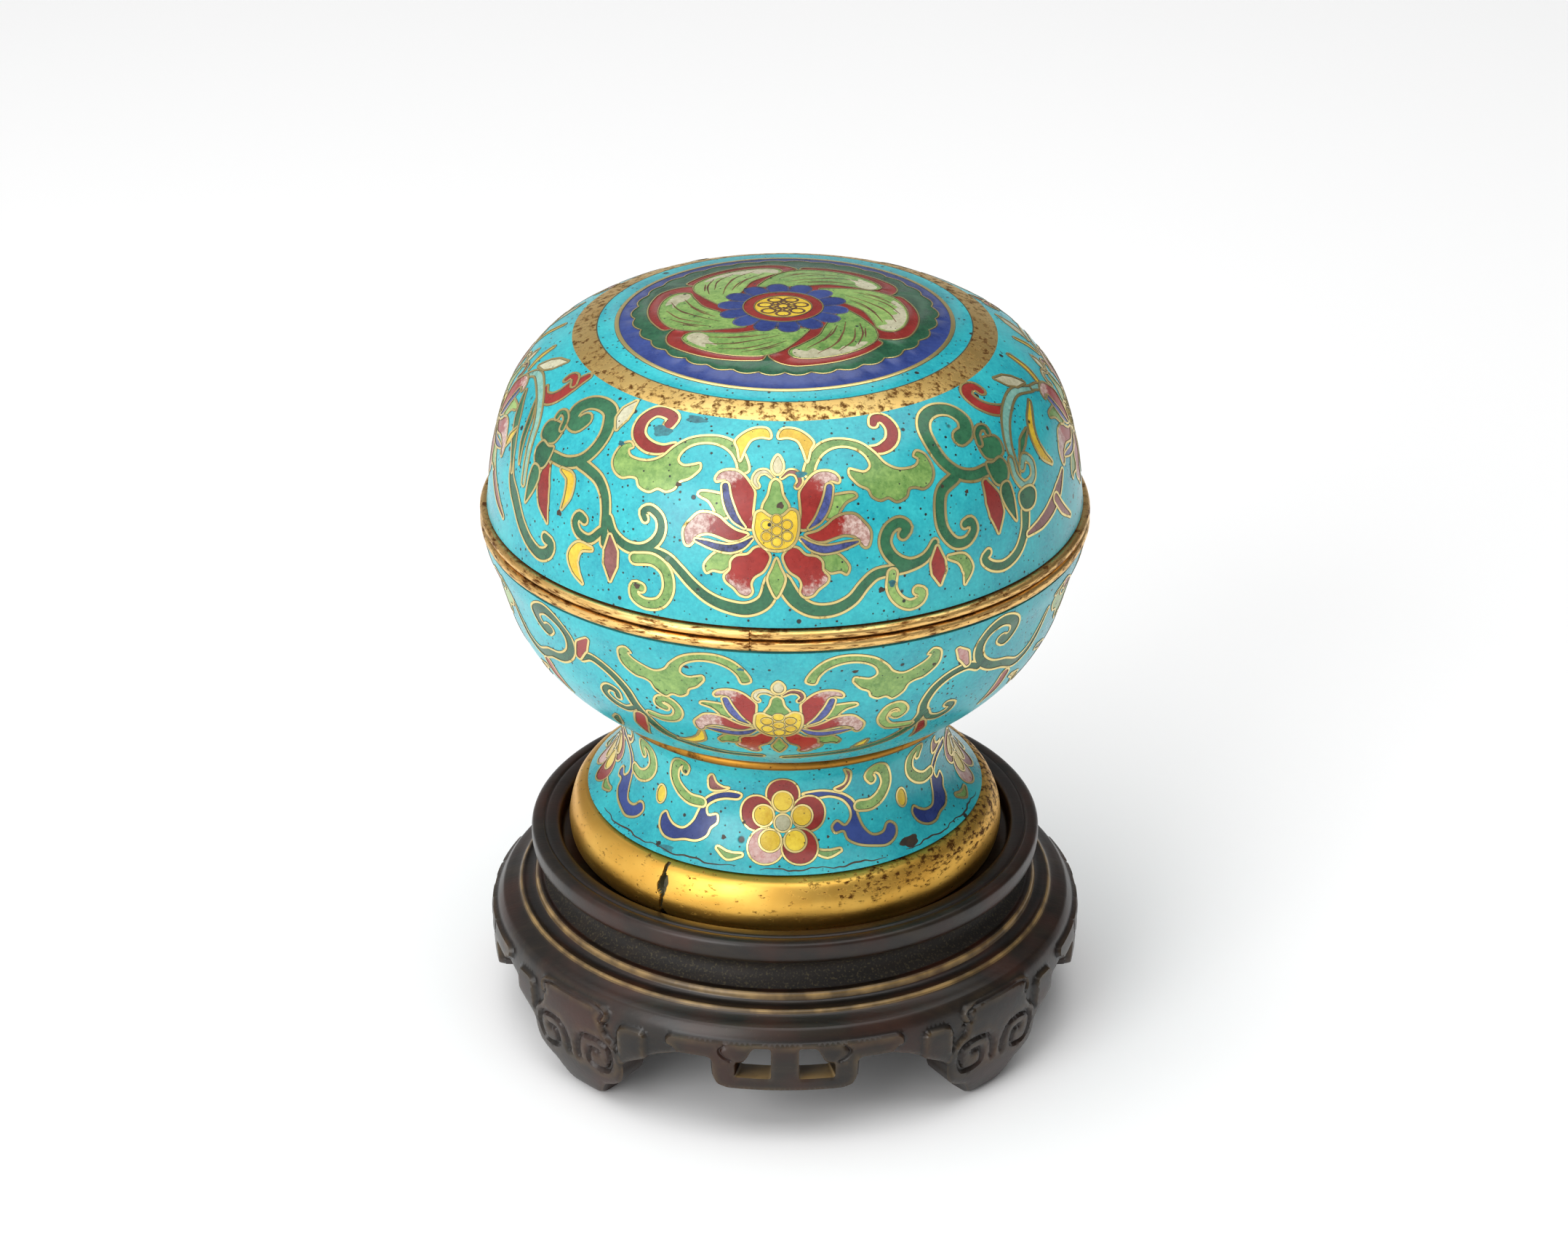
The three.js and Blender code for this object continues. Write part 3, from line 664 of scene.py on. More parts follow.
# knots, curls and buds that fill the side between two lotuses, measured from a lotus's axis outwards:
# each is a centre line with the widths along it
lidRight = {
    "stems": [
        ([(0.9, 26), (2.9, 29.2), (5.2, 30.7), (8.2, 30.7), (10.7, 29.4), (12.5, 27.2), (14.2, 25.8),
         (16.7, 25.5), (19.2, 25.4), (21.9, 24.6), (23.7, 22.5)], (2.6, 2.2, 1.9, 1.7, 1.3)),
        ([(23.7, 22.5), (21.7, 24.5), (19.2, 25), (16.9, 23.5), (15.9, 21), (16.7, 19), (18.4, 18.3),
         (19.5, 19.3), (18.8, 20.2)], (1, 2, 2, 1.8)),
        ([(29.2, 13.5), (26.2, 15), (25.2, 18), (25.4, 21), (27.2, 23.5), (29.2, 23.7), (30.7, 22.2),
         (30.2, 20.8), (29.2, 21)], (2, 2, 1.8, 1.6)),
        ([(35.4, 14.2), (32.7, 14.2), (30.2, 13.2), (28.2, 11), (27.2, 8), (27.2, 5), (28.7, 3), (31.7, 2.2),
         (34.7, 3.2), (35.9, 5.5), (34.9, 7.5), (33.2, 8)], (1.9, 2, 2.2, 2.4, 2.8))],
    "curls": [
        ([(16.7, 26), (16.5, 28.5), (17.5, 30.5), (19.2, 31.6), (20.8, 31.1), (21.2, 30), (20.4, 29.5)],
         (1.7, 1.7, 1.6)),
        ([(25.8, 25.4), (28, 26.3), (28.9, 28.2), (28.3, 30.4)], (0.8, 2, 2.3, 0.5))],
    "buds": [
        ([(24, 23.4), (23.9, 25.4), (24, 27.2), (24.1, 29.3)], (0.8, 2.8, 2.8, 0.6)),
        ([(34.5, 16), (35.2, 18.6), (35.5, 21.2), (35.3, 24.2)], (1.4, 3.4, 3.3, 0.6)),
        ([(15.9, 6.4), (17.9, 6.5), (20.2, 5.5), (21.3, 3.5), (20.7, 1.5), (19, 0.95), (18.2, 2)],
         (1.2, 2, 2.2, 1.9, 1.5)),
        ([(47.8, 7.4), (45.4, 7), (43, 5.8), (41.5, 3.9), (41.4, 2), (42.8, 1.1), (44.6, 1.5), (45, 2.7)],
         (1.4, 2.1, 2.2, 2.1, 1.7))],
    "hooks": [
        ([(41.7, 23), (40.9, 26), (38.9, 28.8), (35.8, 29.9), (33.2, 29), (32, 27.5), (32.8, 26.8)],
         (2.2, 2, 1.7, 1.5)),
        ([(48.3, 11.9), (46, 12.9), (43.4, 15)], (0.6, 1.5, 0.5))],
    "yellow": [
        ([(54, 9), (50.2, 11.6), (49, 14), (49.6, 16.7), (51.6, 19)], (0.7, 1.6, 1.9, 1.9, 0.8)),
        ([(62.8, 2.4), (62.3, 5.6), (61.4, 9.2)], (0.9, 1.3, 1.2))],
    "knotX": 0,
    "bulbs": 4,
    "mauve": [
        ([(41.7, 26.9), (45.4, 26.5), (48.8, 25.4), (51.8, 23.8), (54.6, 21.8)], (1, 2.2, 2.7, 2.6, 1)),
        ([(50.6, 24.6), (52.4, 27.2), (55.4, 29.8)], (1.8, 1.7, 0.8))],
    "pale": [
        ([(41.9, 17), (42.1, 12.6), (44.2, 9.3), (47.4, 7.2), (52, 6.2), (57.6, 8)], (1, 1.6, 1.9, 1.6, 1.1)),
        ([(58, 8), (60.7, 9.2), (62.7, 12.6), (63.3, 16.6)], (1, 1.6, 1.5, 0.7)),
        ([(41.2, 14.5), (41.1, 17), (42.7, 19.2), (45.2, 18.8), (45.8, 16.6), (44.4, 15.2), (43.2, 16.4)],
         (1.3, 1.5, 1.4))],
    "white": [([(51.3, 2.5), (52.8, 3.6), (54.6, 4.9), (57, 6.4)], (0.6, 2.5, 2.5, 0.6))],
}
lidLeft = {
    "stems": [
        ([(0.5, 26), (1.7, 29.3), (4, 30.6), (7, 30.3), (9.7, 29.2), (12.1, 27.3), (14.1, 25.3), (15.9, 23.8),
         (18.3, 23.2), (22.6, 23.4)], (2.6, 2.2, 1.8, 1.5, 1.3)),
        ([(26.3, 20), (25.1, 22), (22.6, 23.4), (20, 23.2), (18.1, 21.7), (17.3, 19.7), (17.8, 17.8),
         (19.6, 16.8), (20.6, 17.5), (20.1, 18.5)], (1.7, 1.8, 1.6, 1.3)),
        ([(26.5, 24), (26.8, 21.5), (27, 19), (27.8, 16.5), (29.5, 14.7), (32, 13.8), (34.2, 13.4)],
         (1.6, 1.9, 1.9)),
        ([(27.2, 22.2), (29.3, 24.2), (31.5, 23.8), (32.4, 22.3), (31.7, 21.1), (30.7, 21.5)], (1.5, 1.6, 1.6)),
        ([(40.6, 14.5), (37, 14.2), (34, 12.7), (32.3, 10), (32.1, 7), (33.8, 4.2), (36.6, 3.5), (39.6, 4.2),
         (41.1, 6), (40.6, 8), (38.8, 8.3), (37.8, 7)], (1.8, 2, 2.4, 2.6, 2.6))],
    "curls": [
        ([(21.1, 25), (18.1, 24.6), (16.1, 26), (15.6, 29), (16.8, 31.3), (19.1, 31.9), (20.8, 31),
         (20.8, 29.4), (19.8, 29.5)], (1.9, 1.9, 1.6))],
    "buds": [
        ([(41, 16.3), (40.8, 19), (39.9, 22), (38.3, 24.6)], (1.8, 3.4, 2.9, 0.5)),
        ([(18.3, 6.5), (20.1, 7.4), (23.1, 7.4), (25.6, 6), (26.4, 3.5), (25.1, 1.4), (22.6, 1.1), (20.8, 1.8),
         (21, 3)], (1.2, 2.1, 2.3, 2.1, 2)),
        ([(53.2, 6.9), (51.6, 7.9), (49.6, 7.6), (47.9, 5.9), (47.4, 3.6), (46.6, 0.9)],
         (1, 2.1, 2.4, 2.7, 1.5)),
        ([(47.4, 3.4), (49, 2.4), (50.4, 2.6), (50.5, 3.6)], (1.2, 1.5, 1.2))],
    "hooks": [
        ([(51.4, 19.4), (50.2, 22.2), (47.4, 24.8), (44.6, 27.8), (41.8, 29.7), (39.2, 30.3), (37.3, 29.2),
         (36.9, 27.7), (38.3, 27.2)], (1.2, 2.6, 2.5, 2.2, 1.9)),
        ([(58.6, 10.2), (55.6, 13.3), (52.8, 17), (50.6, 21.2)], (0.7, 2.1, 1.9, 0.6)),
        ([(53, 9.4), (51, 12.2), (49.8, 16), (48.8, 19)], (0.5, 1.3, 1.3, 0.5))],
    "yellow": [
        ([(37.4, 15.6), (35.2, 16.2), (34.8, 18.6), (35.6, 21.3)], (0.8, 2.1, 1.7, 0.5)),
        ([(28.7, 25.6), (31, 26), (32.1, 28.2), (31.4, 30.1), (30, 31.7)], (0.8, 1.8, 2.6, 1.8, 0.5)),
        ([(53.5, 15), (54.7, 17), (56, 19.2)], (0.6, 1.5, 0.6)),
        ([(64.6, 8.3), (65.2, 6), (65.8, 3.4)], (0.9, 1.2, 0.9))],
    "knotX": 5.2,
    "bulbs": 3,
    "mauve": [
        ([(25.6, 22.6), (25.2, 24.8), (25.1, 27.2), (25, 29.6)], (0.8, 2.8, 2.8, 0.6)),
        ([(61, 21.5), (59, 24.7), (55, 27.6), (51.4, 29.4)], (0.8, 2.1, 2, 0.8))],
    "pale": [
        ([(63.4, 9.4), (60.2, 7.2), (56.8, 7.2), (52, 8.9), (48.6, 11.8), (47.2, 16), (46.2, 21.2)],
         (1, 1.8, 1.7, 1.5, 1.2))],
    "white": [
        ([(30.4, 6.3), (30.8, 4.4), (30.9, 2.6), (30.6, 0.7)], (0.6, 2.4, 2.3, 0.6)),
        ([(62.1, 6.4), (60, 4.9), (58, 3.3), (56.2, 1.8)], (0.6, 2.6, 2.6, 0.6))],
}
# the knot's solid lobes and its curl, shared by both sides
knotBulbs = [[(35.9, 10), (36.7, 9.4), (38.7, 9.4), (40.4, 10), (40.9, 11.3), (40.4, 12.8), (39.2, 13.3),
    (37.2, 13.1), (36.1, 12.2)], [(35.9, 13.1), (37.2, 13.4), (39.2, 13.2), (40.1, 15), (39.4, 16.8),
    (38.2, 17.4), (36.7, 17), (35.9, 15.5)], [(37.7, 17.2), (39.2, 17.2), (39.7, 19), (39.7, 21.5),
    (39.4, 23.9), (38.4, 22.5), (37.4, 20.5), (37, 18.5)], [(40.9, 20), (42.2, 19.5), (44.2, 19.8), (45.1, 21),
    (44.4, 22.8), (42.9, 23.3), (41.4, 22.8), (40.7, 21.5)]]
knotCurl = ([(36.4, 10), (36.9, 8.5), (38.2, 7.8), (39.2, 8.2), (39.2, 9)], (1.2, 1.2, 1.1))


def drawScroll(drawing, x, side, scroll):
    def bands(shift, *parts):
        return [bandOutline(drawing, moved(line, shift, 0, side), widths) for line, widths in parts]

    drawCells(drawing, bands(x, *scroll["stems"]), "darkGreen")
    for cell, key in (("leafGreen", "curls"), ("red", "buds"), ("darkGreen", "hooks"), ("yellow", "yellow"),
                        ("mauve", "mauve"), ("paleTeal", "pale"), ("white", "white"), ("pink", "pink")):
        for band in scroll.get(key, []):
            drawCells(drawing, bands(x, band), cell)
    if "knotX" in scroll:
        knotX = x + side * scroll["knotX"]
        for bulb in knotBulbs[:scroll["bulbs"]]:
            drawShape(drawing, moved(bulb, knotX, 0, side), "darkGreen")
        drawCells(drawing, bands(knotX, knotCurl), "darkGreen")


# places where the lid's enamel is pitted or was filled: flat place, radii and finish
lidDamage = [(13.8, 28.4, 0.5, 0.45, "loss"), (-21.7, 29.4, 0.5, 0.45, "loss"),
    (-37.2, 22.2, 0.55, 0.5, "loss"), (25.3, 14.3, 0.3, 0.3, "loss"), (29.4, 16.2, 0.35, 0.3, "loss"),
    (-16.9, 12.3, 0.5, 0.35, "loss"), (-0.7, 14.2, 0.55, 0.5, "loss"), (-17.5, 1.1, 2.1, 0.7, "patch"),
    (-22.9, 4.4, 1.9, 1, "patch"), (15.4, 27.6, 0.5, 0.6, "patch"), (-29.3, 8.2, 0.6, 0.4, "patch"),
    (2.6, 9.4, 0.9, 0.5, "patch")]


def drawDamage(drawing, places):
    turns = np.linspace(0, 2 * math.pi, 20, endpoint=False)
    for x, y, wide, tall, cell in places:
        ragged = 1 + 0.14 * np.sin(3 * turns + x) + 0.1 * np.sin(5 * turns + y)
        drawCells(drawing, [ellipse(x, y, wide * ragged, tall * ragged, 20)], cell, wire=0)


def drawLidSide(profile, reference):
    drawing = drawingOn(profile, reference)
    for half in (0, math.pi * reference):
        x, y = lidShape["lotus"][0] + half, lidShape["lotus"][1]
        drawScroll(drawing, x, 1, lidRight)
        drawScroll(drawing, x, -1, lidLeft)
        drawLeaf(drawing, x, 1)
        drawLeaf(drawing, x, -1, 1.1, 0.95)
        drawShape(drawing, moved(hookOutline, x), "yellow")
        drawShape(drawing, moved(hookOutline, x - 1.4, 0, -1), "yellow")
        drawLotus(drawing, x, y, 0.97)
        drawLotus(drawing, lidShape["sideLotus"] + half, y, 0.95)
    drawDamage(drawing, lidDamage)
    return drawing


def discOnCrown(cut, crown, shape):
    # the flat medallion laid on the crown, the gilt band standing a little proud
    r = np.hypot(*cut["verts"].T)
    z = np.interp(r, crown["line"][:, 0], crown["line"][:, 1])
    inside, outside = shape["band"]
    step = np.clip(np.minimum((r - inside) / 0.5, (outside - r) / 0.9), 0, 1)
    z = z + shape["bandRise"] * np.sin(step * math.pi / 2) + cut["lift"] * wireLift
    return np.column_stack([cut["verts"], z])


def makeLid():
    shape = lidShape
    crown, side = makeProfile(shape["crown"], 0.5), makeProfile(shape["side"], 0.3)
    skin = newSkin()
    disc = cutDrawing(drawMedallion(), (0, 0), (shape["band"][1], 0), 0, 360, 1.1, "band")
    addPatch(skin, discOnCrown(disc, crown, shape), disc["tris"], disc["names"], disc["tone"], disc["tint"])
    addSheet(skin, drawLidSide(side, shape["reference"]), side, shape["reference"], 1.15)
    inner = side["line"] - side["normal"] * shape["wall"]
    edge = (inner[-1][0], side["line"][-1][1])
    addTurned(skin, [side["line"][-1], edge], "wire")
    vault = crown["line"] - crown["normal"] * shape["wall"]
    upward = np.concatenate([[edge], inner[-2::-6], vault[::-4][1:], [(0, shape["crown"][0][1] - shape["wall"])]])
    addTurned(skin, upward[upward[:, 0] >= 0], "lining")
    place(buildSkin(skin, "lid_enamel"), "lid")


makeLid()
print("lid made")


# bowl: one copper body from the rim down over the neck wire to the foot's lower edge

bowlShape = {
    "side": [(49.3, 89.6), (48.75, 87.2), (47.6, 84.3), (44.5, 74.65), (40.5, 68.3), (35, 63), (30.3, 60.05)],
    "neckWire": (29.25, 59.1, 0.92),
    "foot": [(28.4, 58.1), (27.25, 55), (27.1, 53), (27.9, 47.8), (30.2, 43.6), (33.2, 40.9)],
    "wall": 2,
    "reference": 42,
    "lotus": (-0.9, 16),
    "sideLotus": 65.1,
    "footReference": 32,
    "mouthInside": 47.2,
    "floor": [(0, 55), (18, 56.6)],
    "footInside": 31.2,
    "underFloor": [(24.6, 57.2), (17, 54.4), (0, 53)],
    "rosette": (-0.4, 10.7),
}
bowlRight = {
    "stems": [
        ([(0.9, 27.5), (7.9, 26.5), (13.9, 25.5), (18.9, 23), (21.4, 20), (22.4, 17), (22.2, 14.5),
         (23.4, 11.5), (25.9, 9.5), (28.9, 9), (30.9, 10)], (1.4, 1.7, 1.8, 1.7, 1.5)),
        ([(22.9, 16.5), (23.9, 18.5), (25.9, 19.3), (27.6, 18.5), (27.9, 17), (26.9, 16.5)], (1.3, 1.6, 1.5)),
        ([(36.9, 12), (33.4, 10.8), (30.9, 8.5), (30.1, 5.5), (30.9, 2.7), (33.4, 1.5), (35.9, 2.7), (36.6, 5),
         (35.4, 6.5), (34.4, 5.8)], (1.8, 2, 2.2, 2.2)),
        ([(36.9, 12), (40.4, 13.5), (43.4, 12.4), (45.4, 9.6), (46.6, 6.2)], (1.8, 1.8, 1.6, 0.8))],
    "curls": [
        ([(20.9, 19.3), (18.9, 19), (16.9, 18.3), (15.6, 16), (16.4, 13.8), (17.9, 13.5), (18.9, 15),
         (18.1, 16), (17.4, 15.5)], (1.4, 1.6, 1.5))],
    "buds": [
        ([(23.2, 19.9), (23.8, 22.4), (23.2, 24.6)], (1.6, 2, 0.6)),
        ([(38.6, 15.4), (38, 18.5), (36.4, 21.6)], (2.4, 2.6, 0.6)),
        ([(47.4, 3.4), (50.2, 3), (52.6, 4.6), (52.8, 7)], (1.2, 2.2, 2.2, 1.4))],
    "pink": [([(28.5, 8.4), (27.4, 6.2), (25.9, 4.1)], (1.2, 2.3, 0.8))],
    "yellow": [
        ([(14.2, 22.2), (13.6, 23.4), (12.4, 24.4)], (0.8, 1.7, 0.6)),
        ([(41.4, 17.2), (43.6, 18.4), (44.2, 20.8)], (0.8, 1.9, 0.6))],
    "hooks": [([(47.6, 14.5), (50.8, 15.8), (51.8, 18.8), (49.8, 21.4), (46.8, 21)], (1.2, 1.8, 1.8, 1.3))],
}
bowlLeft = {
    "stems": [
        ([(3.4, 26.9), (9.9, 26.5), (14.9, 25), (18.9, 22.5), (20.9, 19), (22.4, 15.5), (23.4, 12.5),
         (25.9, 9.5), (28.9, 8), (30.9, 9)], (1.4, 1.7, 1.8, 1.7, 1.5)),
        ([(39.1, 12), (35.6, 11.2), (33.2, 9), (32.6, 6), (33.8, 3), (36.4, 1.6), (38.8, 3), (39.1, 5.4),
         (37.8, 6.6), (36.8, 5.8)], (1.8, 2, 2.2, 2.2)),
        ([(39.1, 12), (42.4, 13.4), (45.2, 12.2), (47, 9.4), (48, 6.2)], (1.8, 1.8, 1.6, 0.8)),
        ([(22.2, 16), (24.6, 17.4), (26.9, 16.4), (27.8, 14.6), (26.8, 13.3), (25.4, 13.7), (25.3, 14.9)],
         (1.2, 1.5, 1.5, 1.3))],
    "curls": [
        ([(20.1, 16.8), (17.9, 17.3), (15.9, 16.5), (15.1, 14.5), (16.1, 12.8), (17.6, 12.5), (18.1, 13.8),
         (17.1, 14.3)], (1.4, 1.6, 1.5))],
    "buds": [
        ([(22.4, 18.4), (23.2, 21.4), (23.4, 24.6)], (2.2, 2.5, 0.6)),
        ([(31.4, 8.8), (30.2, 6.4), (28.4, 3.9)], (1.4, 2.5, 0.8)),
        ([(41.2, 15.2), (40.8, 18.3), (39.4, 21.4)], (2.4, 2.6, 0.6)),
        ([(48.8, 3.4), (51.6, 3), (53.8, 4.6), (54, 7)], (1.2, 2.2, 2.2, 1.4))],
    "yellow": [
        ([(12.1, 19.2), (12.8, 21.6), (15, 23.2), (17, 23.4)], (0.8, 1.8, 1.6, 0.6)),
        ([(43.4, 17.2), (45.6, 18.4), (46.2, 20.8)], (0.8, 1.9, 0.6))],
    "hooks": [([(28.2, 21.4), (29.4, 23.6), (30.2, 25.8)], (0.8, 2, 0.6))],
}
bowlDamage = [(9.6, 4.6, 0.45, 0.35, "loss"), (-13.6, 4.4, 0.4, 0.35, "loss"), (-6, 3.6, 0.5, 0.3, "patch"),
    (21.5, 6.2, 0.3, 0.3, "loss"), (-19.5, 15, 0.3, 0.3, "loss")]


def drawBowlSide(profile, reference):
    drawing = drawingOn(profile, reference)
    for half in (0, math.pi * reference):
        x, y = bowlShape["lotus"][0] + half, bowlShape["lotus"][1]
        far = bowlShape["sideLotus"] + half
        drawScroll(drawing, x, 1, bowlRight)
        drawScroll(drawing, x, -1, bowlLeft)
        drawLeaf(drawing, x, 1, 0.9, 0.96, -2.8, 2.8)
        drawLeaf(drawing, x, -1, 0.9, 0.96, -2.8, 2.4)
        drawLotus(drawing, x, y, 0.9, 0.84, 1.14)
        for side in (1, -1):
            drawLeaf(drawing, far, side, 0.7, 0.96, -2.8, 2.8)
        drawLotus(drawing, far, y, 0.88, 0.84, 1.14)
    drawDamage(drawing, bowlDamage)
    return drawing


footLeaves = {
    "cobalt": [[(-8.3, 6.3), (-10.8, 6), (-13.8, 6.9), (-15.8, 8.3), (-16.9, 10.4), (-17.7, 12.5), (-19.2, 14),
        (-21.3, 14), (-22.7, 13.3), (-23.8, 12.5), (-24.6, 13.3), (-24.2, 15), (-22.5, 16.3), (-20.4, 16.5),
        (-18.3, 15.8), (-15.8, 15.4), (-14.2, 14.2), (-13.8, 12.9), (-12.7, 11.7), (-13, 10.4), (-14.8, 10.8),
        (-15.2, 9.6), (-13.8, 8.3), (-11.7, 7.5), (-8.8, 7.1)],
        [(3.3, 5.8), (6.6, 5.4), (9.1, 5.8), (11.6, 6.7), (13.5, 8.3), (14.1, 10.8), (14.8, 12.9),
        (16.2, 14.4), (18.3, 14.4), (19.5, 13.3), (20.4, 13.3), (21.2, 14.2), (20.6, 15.6), (18.3, 16.7),
        (15.8, 16.3), (12.9, 15.4), (11.2, 14.2), (10.8, 12.9), (9.1, 12.9), (8.7, 11.9), (9.8, 11),
        (11.2, 11.9), (12.5, 10.8), (12.5, 9.4), (11.2, 7.7), (8.7, 6.7), (5.8, 6.7)]],
    "leafGreen": [
        ([(-16.5, 9), (-19.2, 9), (-21.7, 7.9), (-23.1, 6.3), (-22.9, 4.2), (-21.3, 2.9), (-20.2, 3.2),
         (-20.6, 4.4)], (1.7, 1.9, 1.8, 1.4)),
        ([(14.5, 9.2), (17, 9.4), (19.5, 8.3), (20.8, 6.3), (20, 4), (18.1, 3.1), (16.8, 4.2), (17.5, 5.2)],
         (1.8, 2, 2, 1.5))],
    "mauve": [
        [(-15, 6.3), (-15.2, 4.2), (-14.2, 3.4), (-13.5, 4.8), (-12.1, 5.4), (-10.8, 5.4), (-12.4, 6.2)],
        [(11.2, 1.5), (12.7, 2.5), (12.7, 4.6), (10.8, 6), (9.5, 5.4), (11.6, 4.6), (12, 3.3)]],
    "dots": [(-26.1, 10.2)],
    "podGreen": [
        ([(-11.7, 15.8), (-9.6, 16.8), (-7.5, 16.4)], (0.7, 1.5, 0.7)),
        ([(5, 15.4), (7.2, 16.2), (9.5, 15.8)], (0.7, 1.4, 0.7))],
}
footDamage = [(-11.1, 13.9, 0.42, 0.4, "loss"), (7.8, 13.4, 0.25, 0.25, "loss"), (-7.6, 11, 0.3, 0.3, "loss"),
    (22.4, 17.5, 1.9, 1, "loss"), (-20.6, 18.2, 1.4, 0.6, "patch")]


def drawFootSide(profile, reference):
    drawing = drawingOn(profile, reference)

    def roundCell(x, y, wide, tall, cell):
        drawCells(drawing, [ellipse(x, y, wide, tall)], cell, wire=0.3)

    def ringOfFive(x, y, reachX, reachY, wide, tall, order, cells):
        # five round cells about a middle, in painter's order
        for petal in order:
            turn = math.radians(72 * petal + 90)
            roundCell(x + reachX * math.cos(turn), y - reachY * math.sin(turn), wide, tall, cells[petal])

    for k in range(4):
        across = k * math.pi / 2 * reference
        for cell in ("cobalt", "leafGreen", "mauve", "podGreen"):
            for shape in footLeaves[cell]:
                if isinstance(shape, tuple):
                    drawBand(drawing, moved(shape[0], across), shape[1], cell)
                else:
                    drawShape(drawing, moved(shape, across), cell)
        for x, y in footLeaves["dots"]:
            roundCell(x + across, y, 1.2, 1.6, "yellow")
        x, y = bowlShape["rosette"][0] + across, bowlShape["rosette"][1]
        ringOfFive(x, y, 5.1, 4.9, 3.2, 3.05, (0, 1, 4, 2, 3), ("red", "red", "pink", "red", "red"))
        ringOfFive(x, y, 3.8, 3.65, 2.0, 1.85, range(5), ["yellow"] * 5)
        roundCell(x, y, 1.6, 1.5, "white")
    drawDamage(drawing, footDamage)
    # a fine crack runs just above the foot ring
    for start, end in ((-38, -8), (-4, 17), (21, 44)):
        along = np.linspace(start, end, 24)
        crack = profile["length"] - 0.95 + 0.22 * np.sin(along * 0.9) + 0.1 * np.sin(along * 2.7)
        drawBand(drawing, np.stack([along, crack], 1), (0.1, 0.3, 0.16, 0.34, 0.1), "loss", 0)
    return drawing


def makeBowl():
    shape = bowlShape
    side, foot = makeProfile(shape["side"], 0.3), makeProfile(shape["foot"], 0.3)
    skin = newSkin()
    addSheet(skin, drawBowlSide(side, shape["reference"]), side, shape["reference"], 1.2)
    addSheet(skin, drawFootSide(foot, shape["footReference"]), foot, shape["footReference"], 1.2)
    r, z, wire = shape["neckWire"]
    bead = [(r + wire * math.cos(a), z + wire * math.sin(a)) for a in np.radians(np.arange(58, -60, -14.5))]
    addTurned(skin, [side["line"][-1], *bead, foot["line"][0]], "neck")
    inFoot = foot["line"] - foot["normal"] * shape["wall"]
    inFoot = inFoot[(inFoot[:, 1] < 56) & (inFoot[:, 1] > 41.2)]
    edge, mouth = foot["line"][-1], side["line"][0]
    addTurned(skin, [edge, (shape["footInside"], edge[1]), *inFoot[::-5], *shape["underFloor"]], "lining")
    inBowl = side["line"] - side["normal"] * shape["wall"]
    addTurned(skin, [*shape["floor"], *inBowl[::-6][:-1], (shape["mouthInside"], mouth[1]), mouth], "lining")
    place(buildSkin(skin, "bowl_enamel"), "bowl")


makeBowl()
print("bowl made")


# gilt rims: two beads that meet at the mouth, each a bent strip with its soldered seam at one place

rimShape = {
    "inside": 46.8,
    "radius": 49.75,
    "lidRim": (91.92, 93.4),
    "bowlRim": (89.9, 91.58),
    "flange": (45.8, 44.6, 96.2),
    "seamAzimuth": -6.2,
    "seamWidth": 0.34,
    "seamDepth": 0.32,
}


def makeRing(profile, finish, azimuth, surface, name, node):
    # a closed gilt ring, with fine steps beside its joint at `azimuth`
    steps = np.concatenate([np.arange(-180, 180, 1.0), np.arange(azimuth - 2.2, azimuth + 2.2, 0.06)])
    skin = newSkin()
    addTurned(skin, [*profile, profile[0]], finish, np.radians(np.unique(np.round(steps, 3))), surface)
    place(buildSkin(skin, name), node)


def beadProfile(inside, radius, low, high):
    crown = [(radius - 1.3, high), (radius - 0.55, high - 0.03), (radius - 0.16, high - 0.28),
             (radius, (low + high) / 2),
             (radius - 0.16, low + 0.28), (radius - 0.55, low + 0.03), (radius - 1.3, low)]
    return [(inside, high), *curveThrough(crown, 0.16), (inside, low)]


def makeRims():
    shape = rimShape

    def seam(turns, r, z):
        off = np.abs(turns - math.radians(shape["seamAzimuth"])) * r
        near = np.clip(1 - (off / (shape["seamWidth"] / 2)) ** 4, 0, 1) * (r > shape["radius"] - 0.8)
        worn = 0.05 * np.sin(turns * 7 + 1.3) * np.sin(turns * 3.1) + 0.03 * np.sin(turns * 23)
        return r - near * shape["seamDepth"] + (r > shape["radius"] - 0.7) * worn * 0.6 - 0.02

    lidBead = beadProfile(shape["inside"], shape["radius"], *shape["lidRim"])
    makeRing(lidBead, "rim", shape["seamAzimuth"], seam, "lid_rim_bead", "lid_rim")
    low, high = shape["bowlRim"]
    outside, inside, top = shape["flange"]
    bowlBead = [(inside + 0.3, top), (outside - 0.3, top), (outside, top - 0.3), (outside, high),
                *beadProfile(outside, shape["radius"], low, high)[1:-1], (inside, low), (inside, top - 0.3)]
    makeRing(bowlBead, "rim", shape["seamAzimuth"], seam, "bowl_rim_bead", "bowl_rim")


makeRims()
print("rims made")


# foot ring: a bent strip of gilt bronze whose butt joint has opened, with a pit and a notch eaten
# into it, each with its width, height, place and depth

ringShape = {
    "profile": [(33.6, 40.6), (34.5, 40.15), (35.2, 39.4), (36.05, 37.4), (36.42, 35.6), (36.5, 34.6),
        (36.28, 32.8), (35.6, 31.5), (34.8, 31.05)],
    "inside": 31.6,
    "foot": 31,
    "top": 40.6,
    "jointAzimuth": -33.7,
    "jointWidth": 0.62,
    "jointDepth": 0.95,
    "pit": (1.8, 3.5, 37.2, 1.5),
    "notch": (1.5, 2, 31.6, 0.9),
}


